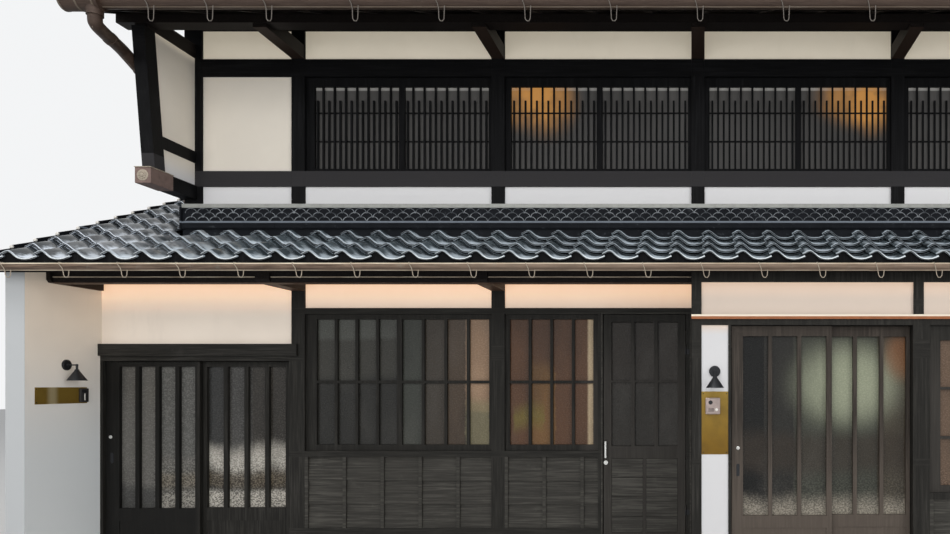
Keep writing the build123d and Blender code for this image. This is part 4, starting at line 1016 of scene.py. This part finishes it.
class ROWHOUSE_OT_tile_edges(Operator):
    """Closes the waves under the eaves and the left edges of the roofs"""
    bl_idname = "row_house.tile_edges"
    bl_label = "Eave boards and verges"

    def execute(self, context):
        settings = context.scene.row_house_tiles
        course = settings.course
        tail = course * 1.05
        boards, skirts, caps = [], [], []
        for roof, eave, sign, x_range, left, pitch in slopes():
            # A board behind the first course closes the waves from below
            out = eave + 0.022
            y = sign * (FRONT_Y - out)
            top = roof(out) + TROUGH_UP - 0.019
            foot = roof(eave) - 0.012
            start = left + math.floor((x_range[0] - left) / pitch) * pitch
            points = [(start + share * pitch, y, top + up * settings.wave)
                      for share, up in WAVE if share < 1.0]
            points += [(start + pitch, y, top + 0.22 * settings.wave),
                       (start + pitch, y, foot), (start, y, foot)]
            board = array(moulding(points, (0, sign * 0.01, 0)),
                          math.ceil((x_range[1] - start) / pitch), (pitch, 0, 0))
            cut(board, (x_range[0] + BOX_GAP, 0, 0), (-1, 0, 0))
            boards.append(cut(board, (x_range[1] - BOX_GAP, 0, 0), (1, 0, 0)))

            # The left edge: a stepped skirt with a small round cap in each step
            near = eave + TILE_OUT
            rows = int((near - RIDGE_SIDE) / course)
            up = (0, sign * course, SLOPE * course)
            x = x_range[0] + BOX_GAP
            profile = ((near, 0.094), (near - tail, 0.068), (near - tail, 0.0),
                       (near - 0.01, -0.012), (near, 0.02))
            outline = [(x, sign * (FRONT_Y - out), roof(out) + above)
                       for out, above in profile]
            skirt = apply_modifier(moulding(outline, (0.016, 0, 0)), "BEVEL",
                                   width=0.003, segments=1)
            skirts.append(array(skirt, rows, up))
            spot = (x + 0.018, sign * (FRONT_Y - near + 0.006), roof(near) + 0.082)
            cap = turned(spot, (0, -sign, 0), [
                (0, 0.014), (0.012, 0.014), (0.016, 0.009), (0.017, 0.003)], 10)
            caps.append(array(cap, rows, up))
        done("eave_fillers", boards, "black_timber")
        done("verge_tiles", skirts, "band_tile")
        done("verge_caps", caps, "pale_enamel")
        return {"FINISHED"}


class ROWHOUSE_OT_ridges(Operator):
    """Builds the ridges: laid tiles under round caps, with end plates"""
    bl_idname = "row_house.ridges"
    bl_label = "Ridges"

    def execute(self, context):
        pieces = []
        for roof, x in ((main_z, MAIN_X), (pent_z, (AISLE_LEFT, CORNER_X[0]))):
            top = roof(FRONT_Y) + RIDGE_UP
            foot = roof(RIDGE_SIDE)
            start, end = x[0] + BOX_GAP, x[1] - BOX_GAP
            count = max(2, round((end - start) / RIDGE_TILE))
            length = (end - start) / count
            # Four layers of laid tiles, each a little narrower and with a lip on top
            edges = [foot + 0.115 + (top - 0.119 - foot) * n / 4 for n in range(5)]
            outline = [(start, -0.13, foot), (start, -0.13, edges[0])]
            for n, (low, high) in enumerate(zip(edges, edges[1:])):
                y = 0.008 * n - 0.138
                outline += [(start, y, low), (start, y, high - 0.009),
                            (start, y + 0.012, high - 0.007), (start, y + 0.012, high)]
            outline += [(px, -py, pz) for px, py, pz in reversed(outline)]
            laid = moulding(outline, (length - 0.003, 0, 0))
            pieces.append(array(laid, count, (length, 0, 0)))
            cap = turned((start, 0, top - 0.001), (1, 0, 0), [
                (0, 0.062), (0.002, 0.068), (length - 0.036, 0.068),
                (length - 0.034, 0.0735), (length - 0.004, 0.0735),
                (length - 0.002, 0.066)], 18)
            pieces.append(smooth(array(cap, count, (length, 0, 0)), 40))
            half = [(-0.16, foot - 0.03), (-0.165, foot + 0.05), (-0.12, foot + 0.13),
                    (-0.1, top - 0.01), (-0.06, top + 0.055)]
            plate = half + [(0.0, top + 0.073)] + [(-y, z) for y, z in reversed(half)]
            for place in (start, end - 0.03):
                points = [(place, y, z) for y, z in plate]
                pieces.append(apply_modifier(moulding(points, (0.03, 0, 0)), "BEVEL",
                                             width=0.005, segments=2))
        done("ridge_tiles", pieces, "band_tile", replaces=["ridges"])
        return {"FINISHED"}


# Head band

SCALES_Z = (3.043, 3.161)
# Profile of the laid tiles under the scales: how far out, and height
LAID_PROFILE = (
    (0.17, 2.982), (0.208, 2.98), (0.212, 2.985), (0.212, 3.011), (0.208, 3.015),
    (0.204, 3.016), (0.204, 3.026), (0.211, 3.028), (0.213, 3.033), (0.212, 3.042),
    (0.208, 3.046), (0.17, 3.046))


class ROWHOUSE_OT_head_band(Operator):
    """Adds the scales, the laid tiles and the end cap to the head band"""
    bl_idname = "row_house.head_band"
    bl_label = "Head band"

    def execute(self, context):
        settings = context.scene.row_house_fittings
        pitch, row = settings.scale_pitch, settings.scale_row
        start = CORNER_X[1] - 0.02
        columns = int((HOUSE_X[1] - 0.005 - start) / pitch)
        count = round((HOUSE_X[1] - BOX_GAP - start) / BAND_TILE)
        length = (HOUSE_X[1] - BOX_GAP - start) / count
        scales, laid, caps = [], [], []
        for sign in (1, -1):
            face = sign * (FRONT_Y - BAND_OUT + 0.002)
            column = []
            for n in range(4):
                centre = start + pitch / 2 * (1 + n % 2)
                foot = SCALES_Z[0] + n * row
                points = [(centre + across, face, foot + up * 0.86)
                          for across, up in arc(pitch / 2 - 0.001, 180, 0, 9)]
                scale = moulding(points, (0, -sign * 0.008, 0), 0.0042)
                column.append(cut(scale, (0, 0, SCALES_Z[1]), (0, 0, 1)))
            scales.append(array(join(column), columns, (pitch, 0, 0)))

            points = [(start, sign * (FRONT_Y - out), z) for out, z in LAID_PROFILE]
            bar = moulding(points, (length - 0.002, 0, 0))
            laid.append(array(bar, count, (length, 0, 0)))
            near, far = sorted((sign * (FRONT_Y - 0.002), sign * (FRONT_Y - 0.218)))
            caps.append(block((start - 0.036, near, 2.965), (start - 0.021, far, 3.168),
                              0.004))
        done("scale_rims", scales, "scale_edge")
        done("laid_band_tiles", laid + caps, "band_tile")
        return {"FINISHED"}


# Gutters and downpipe

# How far out, radius and height of the rim
PENT_GUTTER = (0.905, 0.05, 2.548)
MAIN_GUTTER = (1.03, 0.055, 4.548)
# How far a hook hangs below the rim, and where the hooks and joints are
PENT_HOOKS = (0.108, [-4.48 + 0.4545 * n for n in range(20)])
MAIN_HOOKS = (0.17, [-3.266, -2.816] + [-2.366 + 0.658 * n for n in range(11)])
PENT_JOINTS = (-3.1, -0.42, 2.26)
MAIN_JOINTS = (-1.2, 1.45, 3.9)
HOPPER_X = (-3.947, -3.653)
# The beads along each gutter: how far out, height and radius
PENT_BEADS = ((0.956, 2.5475, 0.0048), (0.922, 2.501, 0.004))
MAIN_BEADS = ((1.086, 4.546, 0.006), (1.052, 4.496, 0.005))


def bead(out, z, radius, left):
    """A round bead along the gutter."""
    points = [(left, FRONT_Y - out - across, z + up)
              for across, up in arc(radius, 0, 315, 7)]
    return moulding(points, (HOUSE_X[1] - BOX_GAP - left, 0, 0))


def sleeve(gutter, x, width, gap=0.0016, start=0.0):
    """A half-round strip that wraps the gutter at a joint, from an angle on."""
    out, radius, rim = gutter
    points = [(x, FRONT_Y - out - across, rim - down)
              for across, down in arc(radius + gap, start, 180 - start, 12)]
    return moulding(points, (width, 0, 0), 0.0022, (0, -1, -1))


def hook(x, gutter, drop):
    """A bent wire over the gutter's lip with its loop hanging under it."""
    out, radius, rim = gutter
    lip, low = out + radius, rim - drop
    points = (
        (-0.046, lip - 0.02, rim + 0.009), (-0.045, lip + 0.004, rim + 0.007),
        (-0.04, lip + 0.005, rim - 0.008), (-0.028, lip - 0.008, rim - radius * 0.7),
        (-0.021, lip - 0.012, rim - radius - 0.02), (-0.018, lip - 0.011, low + 0.02),
        (-0.008, lip - 0.012, low + 0.002), (0.01, lip - 0.012, low),
        (0.021, lip - 0.011, low + 0.016), (0.025, lip - 0.01, rim - radius + 0.002))
    return wire([(x + dx, FRONT_Y - away, z) for dx, away, z in points],
                bpy.context.scene.row_house_fittings.hook_wire, 4)


class ROWHOUSE_OT_gutters(Operator):
    """Adds the gutters' beads, joints and hooks and the box's rings"""
    bl_idname = "row_house.gutters"
    bl_label = "Gutter trim"

    def execute(self, context):
        # The gutters' beads, in copper painted pale with their highlights
        beads = [bead(*spot, AISLE_LEFT + BOX_GAP) for spot in PENT_BEADS]
        beads += [bead(*spot, HOPPER_X[1]) for spot in MAIN_BEADS]
        beads += [sleeve((1.049, 0.078, 4.548), x, 0.014, 0.0025, math.degrees(0.27))
                  for x in (HOPPER_X[0], -3.82, -3.695)]
        done("gutter_beads", beads, "pale_patina")
        joints = [sleeve(PENT_GUTTER, x, 0.05) for x in PENT_JOINTS]
        joints += [sleeve(MAIN_GUTTER, x, 0.05) for x in MAIN_JOINTS]
        done("gutter_joints", joints, "patina")
        hooks = []
        for gutter, drop, places in ((PENT_GUTTER, *PENT_HOOKS),
                                     (MAIN_GUTTER, *MAIN_HOOKS)):
            first = hook(places[0], gutter, drop)
            hooks.append(first)
            hooks += [copy_of(first, (x - places[0], 0, 0)) for x in places[1:]]
        done("gutter_hooks", hooks, "hook_metal", degrees=60)
        return {"FINISHED"}


PIPE_X = (-3.713, -3.815)        # under the box, and on the wall
PIPE_BACK = FRONT_Y + 0.16


def collar(spot, axis, half, inner, outer):
    """A band round the pipe, narrower at its ends."""
    return turned(spot, axis, [(-half, inner), (0.001 - half, outer),
                               (half - 0.001, outer), (half, inner)], 24)


class ROWHOUSE_OT_downpipe(Operator):
    """Bends the upper gutter's downpipe, with its seam, collars and clips"""
    bl_idname = "row_house.downpipe"
    bl_label = "Downpipe"

    def execute(self, context):
        x, low_x = PIPE_X
        route = [
            (x, FRONT_Y - 1.049, 4.43), (x, FRONT_Y - 1.049, 4.40),
            (x - 0.004, FRONT_Y - 1.038, 4.372), (-3.735, FRONT_Y - 0.96, 4.358),
            (-3.805, FRONT_Y - 0.68, 4.35), (low_x, FRONT_Y - 0.62, 4.336),
            (low_x, PIPE_BACK - 0.08, 4.036)]
        route += [(low_x, PIPE_BACK, z) for z in (4.0, 3.9, 3.6, 3.145)]
        pieces = [wire(route, 0.096, 10, 3)]
        for spot, axis in (((-3.765, FRONT_Y - 0.835, 4.353), (-0.25, 0.96, -0.03)),
                           ((low_x, FRONT_Y - 0.45, 4.262), (0, 1, -0.44)),
                           ((low_x, PIPE_BACK, 3.86), (0, 0, -1)),
                           ((low_x, PIPE_BACK, 3.25), (0, 0, -1))):
            pieces.append(collar(spot, axis, 0.02, 0.0475, 0.0515))
        for z in (3.3, 3.8):
            clip = collar((low_x, PIPE_BACK, z), (0, 0, 1), 0.014, 0.047, 0.0525)
            pieces.append(clip)
            pieces.append(block((low_x + 0.03, PIPE_BACK - 0.011, z - 0.014),
                                (-3.76, PIPE_BACK + 0.011, z + 0.014), 0.002))
        done("drain_pipe", pieces, "patina", replaces=["downpipe"],
             degrees=50)
        # The seam along the pipe, painted pale as the highlight line on it
        seam = [(px, py - 0.03, pz - 0.034) for px, py, pz in route[2:6]]
        seam.append((low_x, FRONT_Y - 0.12, 4.066))
        done("pipe_seam", [wire(seam, 0.009, 5, 3)], "pale_patina",
             degrees=60)
        return {"FINISHED"}


# Timber fittings

SLATS_X = ((ROOM_LEFT + 0.037, -2.789), (-2.665, -0.971), (-0.847, 0.854))
SLEEVE_X = (-3.775, -3.641)
# Strips round the plain door's casing: left, right, foot and top
CASING = ((0.028, 0.043, 0.2, 2.243), (0.834, 0.847, 0.2, 2.243),
          (0.028, 0.847, 2.2455, 2.259))


class ROWHOUSE_OT_timber_fittings(Operator):
    """Adds the purlin's slat, the wing beam's sleeve and the casing strips"""
    bl_idname = "row_house.timber_fittings"
    bl_label = "Slats, sleeve and casings"

    def execute(self, context):
        slats = [block((left, FRONT_Y - 0.537, 2.499), (right, FRONT_Y - 0.5301, 2.508),
                       0.0012) for left, right in SLATS_X]
        done("purlin_slats", slats, "pale_patina")

        left, right = SLEEVE_X
        end = FRONT_Y - 0.571
        cover = block((left, end, 3.281), (right, FRONT_Y - 0.306, 3.413), 0.004, 2)
        middle, height = (left + right) / 2, 3.347
        rosette = [turned((middle, end, height), (0, -1, 0), [
            (0, 0.048), (0.003, 0.047), (0.004, 0.036), (0.007, 0.033), (0.008, 0.02),
            (0.013, 0.016), (0.015, 0.008)], 16)]
        rosette += [turned((middle + across, end - 0.006, height + up), (0, -1, 0), [
            (0, 0.009), (0.004, 0.007), (0.005, 0.003)], 8)
            for across, up in arc(0.026, 0, 315, 7)]
        done("beam_sleeve", [cover], "old_sleeve")
        done("beam_rosette", rosette, "hook_metal")
        cap = block((left - 0.004, end - 0.006, 3.413),
                    (right + 0.004, FRONT_Y - 0.3, 3.419), 0.002)
        done("beam_cap", [cap], "pale_patina")

        strips = [block((x0, FRONT_Y - 0.006, z0), (x1, FRONT_Y - 0.0002, z1), 0.001)
                  for x0, x1, z0, z1 in CASING]
        done("casing_strips", strips, "street_boards")
        return {"FINISHED"}


# Door furniture

# Name and body of a leaf, place of its lock, X and heights of its slot pull
LOCKED_LEAVES = (
    ("left", "left_leaf_a", (-4.453, -3.606, 1.125), -4.441, (0.888, 0.979)),
    ("entry", "entry_leaf_a", (1.237, -4.296, 1.084), 1.237, (0.854, 0.953)),
)
LOCK_RINGS = ((-0.004, 0.0145), (0.004, 0.0145), (0.006, 0.0115), (0.006, 0.0085),
              (0.0035, 0.007), (0.0045, 0.006), (0.0065, 0.0045))
BOARD_EDGES = (0.262, 0.403, 0.586, 0.758, 0.934)


def finger_pull(x, y, low, high):
    """A slot pull: a rounded rim, and the dark dish in it."""
    radius = 0.011
    points = [(x + across, y, middle + up)
              for middle, start in ((high - radius, 0), (low + radius, 180))
              for across, up in arc(radius, start, start + 180, 6)]
    return [moulding(points, (0, -0.0012, 0)), wire(points + points[:1], 0.0045, 4)]


class ROWHOUSE_OT_door_furniture(Operator):
    """Adds the locks, slot pulls and the plain door's boards"""
    bl_idname = "row_house.door_furniture"
    bl_label = "Door furniture"

    def execute(self, context):
        for name, body, place, slot_x, heights in LOCKED_LEAVES:
            lock = turned(place, (0, -1, 0), LOCK_RINGS)
            done(name + "_lock", [lock], "steel", body, degrees=30)
            pull = finger_pull(slot_x, place[1], *heights)
            done(name + "_slot_pull", pull, "dark_steel", body,
                 degrees=30)
        boards = [block((left, FRONT_Y + 0.0025, low + 0.0015),
                        (right, FRONT_Y + 0.0095, high - 0.0015), 0.002)
                  for left, right in ((0.125, 0.4085), (0.4385, 0.722))
                  for low, high in zip(BOARD_EDGES, BOARD_EDGES[1:])]
        done("side_door_boards", boards, "street_boards",
             "side_leaf")
        return {"FINISHED"}


class ROWHOUSE_OT_devices(Operator):
    """Builds the two door stations and the plates' screws"""
    bl_idname = "row_house.devices"
    bl_label = "Door stations"

    def execute(self, context):
        face = BAY_Y + 0.006
        front = face - 0.026
        wing_x = ROOM_LEFT + 0.002
        stations = [
            block((0.97, front, 1.362), (1.09, face - 0.0001, 1.496), 0.007, 3),
            block((0.979, front - 0.0025, 1.371), (1.081, front + 0.001, 1.487),
                  0.002, 2),
            block((wing_x, FRONT_Y - 0.235, 1.45),
                  (wing_x + 0.022, FRONT_Y - 0.15, 1.57), 0.005, 3)]
        done("door_stations", stations, "device",
             replaces=["door_devices"], degrees=40)

        dark = [turned((1.012, front - 0.0025, 1.458), (0, -1, 0), [
            (0, 0.017), (0.004, 0.016), (0.005, 0.012), (0.002, 0.011),
            (0.003, 0.005)])]
        dark += [block((x, front - 0.0034, 1.383), (x + 0.004, front - 0.001, 1.412),
                       0.0006) for x in (0.996 + 0.009 * n for n in range(5))]
        dark.append(block((wing_x + 0.021, FRONT_Y - 0.225, 1.535),
                          (wing_x + 0.0232, FRONT_Y - 0.175, 1.56), 0.001))
        done("station_lenses", dark, "lens", degrees=40)

        pale = [turned((1.06, front - 0.0024, 1.4), (0, -1, 0), [
            (0, 0.0115), (0.003, 0.011), (0.0042, 0.008)], 18)]
        pale.append(block((wing_x + 0.021, FRONT_Y - 0.2, 1.465),
                          (wing_x + 0.0238, FRONT_Y - 0.188, 1.525), 0.001))
        done("station_buttons", pale, "pale_enamel", degrees=40)

        spots = [((x, BAY_Y + 0.0062, z), (0, -1, 0))
                 for x in (0.952, 1.142) for z in (1.05, 1.53)]
        spots += [((ROOM_LEFT + 0.0018, FRONT_Y - out, z), (1, 0, 0))
                  for out in (0.16, 0.645) for z in (1.455, 1.565)]
        screws = [turned(*spot, [(-0.001, 0.005), (0.0012, 0.005), (0.002, 0.0035),
                                 (0.0012, 0.003)], 10) for spot in spots]
        done("plate_screws", screws, "dark_steel")
        return {"FINISHED"}


# Each lamp's root on its wall, and the way that its arm points
LAMPS = (((1.046, BAY_Y + 0.008, 1.711), (0, -1, 0)),
         ((ROOM_LEFT, FRONT_Y - 0.36, 1.772), (1, 0, 0)))
ARM = 0.094


class ROWHOUSE_OT_lamps(Operator):
    """Builds the two cone lamps"""
    bl_idname = "row_house.lamps"
    bl_label = "Cone lamps"

    def execute(self, context):
        rim = context.scene.row_house_fittings.shade
        down = (0, 0, -1)
        dark, bulbs = [], []
        for root, way in LAMPS:
            end = Vector(root) + Vector(way) * ARM
            dark.append(turned(root, way, [
                (0, 0.046), (0.011, 0.046), (0.016, 0.041), (0.0165, 0.014),
                (0.024, 0.011), (0.0245, 0.0055), (ARM, 0.0055), (0.095, 0.004)], 28))
            dark.append(turned(end, down, [
                (-0.008, 0.004), (-0.007, 0.009), (0.004, 0.0105), (0.012, 0.009),
                (0.036, 0.009), (0.04, 0.016), (0.046, 0.018)]))
            dark.append(turned(end, down, [
                (0.042, 0.011), (0.044, 0.014), (0.134, rim), (0.134, rim - 0.002),
                (0.048, 0.012)], 32))
            bulbs.append(turned(end, down, [
                (0.05, 0.008), (0.062, 0.012), (0.078, 0.022), (0.096, 0.027),
                (0.112, 0.022), (0.12, 0.01)], 16))
        done("cone_lamps", dark, "dark_steel", replaces=["wall_lamps"],
             degrees=30)
        done("lamp_bulbs", bulbs, "pale_enamel", degrees=60)
        return {"FINISHED"}


# Stage

# Place, aim, size, power, and whether glossy faces show it
SOFT_BOXES = (
    ((-2.5, -21.0, 5.5), (-0.5, -3.6, 3.2), 11.0, 1250.0, False),
    ((12.0, -14.0, 6.0), (-3.0, -3.6, 2.5), 7.0, 900.0, False),
    ((-3.0, -12.0, 14.0), (0.0, -4.2, 2.7), 5.0, 700.0, True),
    ((0.0, 16.0, 9.0), (0.0, 3.0, 3.0), 9.0, 850.0, True),
)
CAMERA_PLACE = (0.909, -10.326, 1.6)
CAMERA_SHIFT = (-0.2347, 0.1242)


def light_room(world):
    """Lights the room evenly, and shows it paler to the camera and in glossy faces."""
    world.use_nodes = True
    nodes, links = world.node_tree.nodes, world.node_tree.links
    back, pale = nodes["Background"], nodes.new("ShaderNodeBackground")
    back.inputs[0].default_value = (0.95, 0.97, 1.0, 1.0)
    back.inputs[1].default_value = 0.45
    pale.inputs[0].default_value = (0.9, 0.91, 0.92, 1.0)
    path = nodes.new("ShaderNodeLightPath")
    seen = path.outputs["Is Camera Ray"]
    for name in ("Is Glossy Ray", "Is Transmission Ray"):
        either = nodes.new("ShaderNodeMath")
        either.operation = "MAXIMUM"
        links.new(seen, either.inputs[0])
        links.new(path.outputs[name], either.inputs[1])
        seen = either.outputs[0]
    mix = nodes.new("ShaderNodeMixShader")
    for number, output in enumerate((seen, back.outputs[0], pale.outputs[0])):
        links.new(output, mix.inputs[number])
    links.new(mix.outputs[0], nodes["World Output"].inputs[0])


class ROWHOUSE_OT_stage(Operator):
    """Sets the floor, the light and the camera"""
    bl_idname = "row_house.stage"
    bl_label = "Stage"

    def execute(self, context):
        scene = context.scene
        settings = scene.row_house_stage
        deselect()
        bpy.ops.mesh.primitive_plane_add(size=settings.floor_size,
                                         location=(0, 0, -0.001))
        floor = settle()
        floor.name = floor.data.name = "floor"
        floor.data.materials.append(finish("floor"))
        scene.world = bpy.data.worlds.new("room")
        light_room(scene.world)
        for place, aim, size, power, glossy in SOFT_BOXES:
            lamp = bpy.data.lights.new("soft_box", "AREA")
            lamp.size = size
            lamp.energy = power
            box = bpy.data.objects.new("soft_box", lamp)
            box.location = place
            box.visible_glossy = glossy
            direction = Vector(aim) - Vector(place)
            box.rotation_euler = direction.to_track_quat("-Z", "Y").to_euler()
            scene.collection.objects.link(box)
        lens = bpy.data.cameras.new("camera")
        lens.lens = settings.lens
        lens.sensor_width = 36.0
        lens.shift_x, lens.shift_y = CAMERA_SHIFT
        lens.clip_end = 200.0
        scene.camera = bpy.data.objects.new("camera", lens)
        scene.camera.location = CAMERA_PLACE
        scene.camera.rotation_euler = (math.radians(90), 0, 0)
        scene.collection.objects.link(scene.camera)
        scene.view_settings.view_transform = "Standard"
        return {"FINISHED"}


class ROWHOUSE_PT_panel(Panel):
    """Lists the pieces of the row house"""
    bl_idname = "ROWHOUSE_PT_panel"
    bl_label = "Row house"
    bl_space_type = "VIEW_3D"
    bl_region_type = "UI"
    bl_category = "Row house"

    def draw(self, context):
        for group in GROUPS:
            box = self.layout.box()
            settings = getattr(context.scene, group)
            for key in settings.__annotations__:
                box.prop(settings, key)
        for operator in OPERATORS:
            self.layout.operator(operator.bl_idname)


GROUPS = {
    "row_house_tiles": TileSettings,
    "row_house_timber": TimberSettings,
    "row_house_walls": WallSettings,
    "row_house_fittings": FittingSettings,
    "row_house_stage": StageSettings,
}
OPERATORS = (
    ROWHOUSE_OT_solids, ROWHOUSE_OT_tiles, ROWHOUSE_OT_tile_edges, ROWHOUSE_OT_ridges,
    ROWHOUSE_OT_head_band, ROWHOUSE_OT_gutters, ROWHOUSE_OT_downpipe,
    ROWHOUSE_OT_timber_fittings, ROWHOUSE_OT_door_furniture, ROWHOUSE_OT_devices,
    ROWHOUSE_OT_lamps, ROWHOUSE_OT_stage)


def register():
    for name, group in GROUPS.items():
        bpy.utils.register_class(group)
        setattr(bpy.types.Scene, name, PointerProperty(type=group))
    for cls in OPERATORS + (ROWHOUSE_PT_panel,):
        bpy.utils.register_class(cls)


def unregister():
    for cls in (ROWHOUSE_PT_panel,) + OPERATORS[::-1]:
        bpy.utils.unregister_class(cls)
    for name, group in GROUPS.items():
        delattr(bpy.types.Scene, name)
        bpy.utils.unregister_class(group)


def main():
    register()
    for operator in OPERATORS:
        getattr(bpy.ops.row_house, operator.bl_idname.split(".")[1])()
    bpy.context.view_layer.update()


if __name__ == "__main__":
    main()
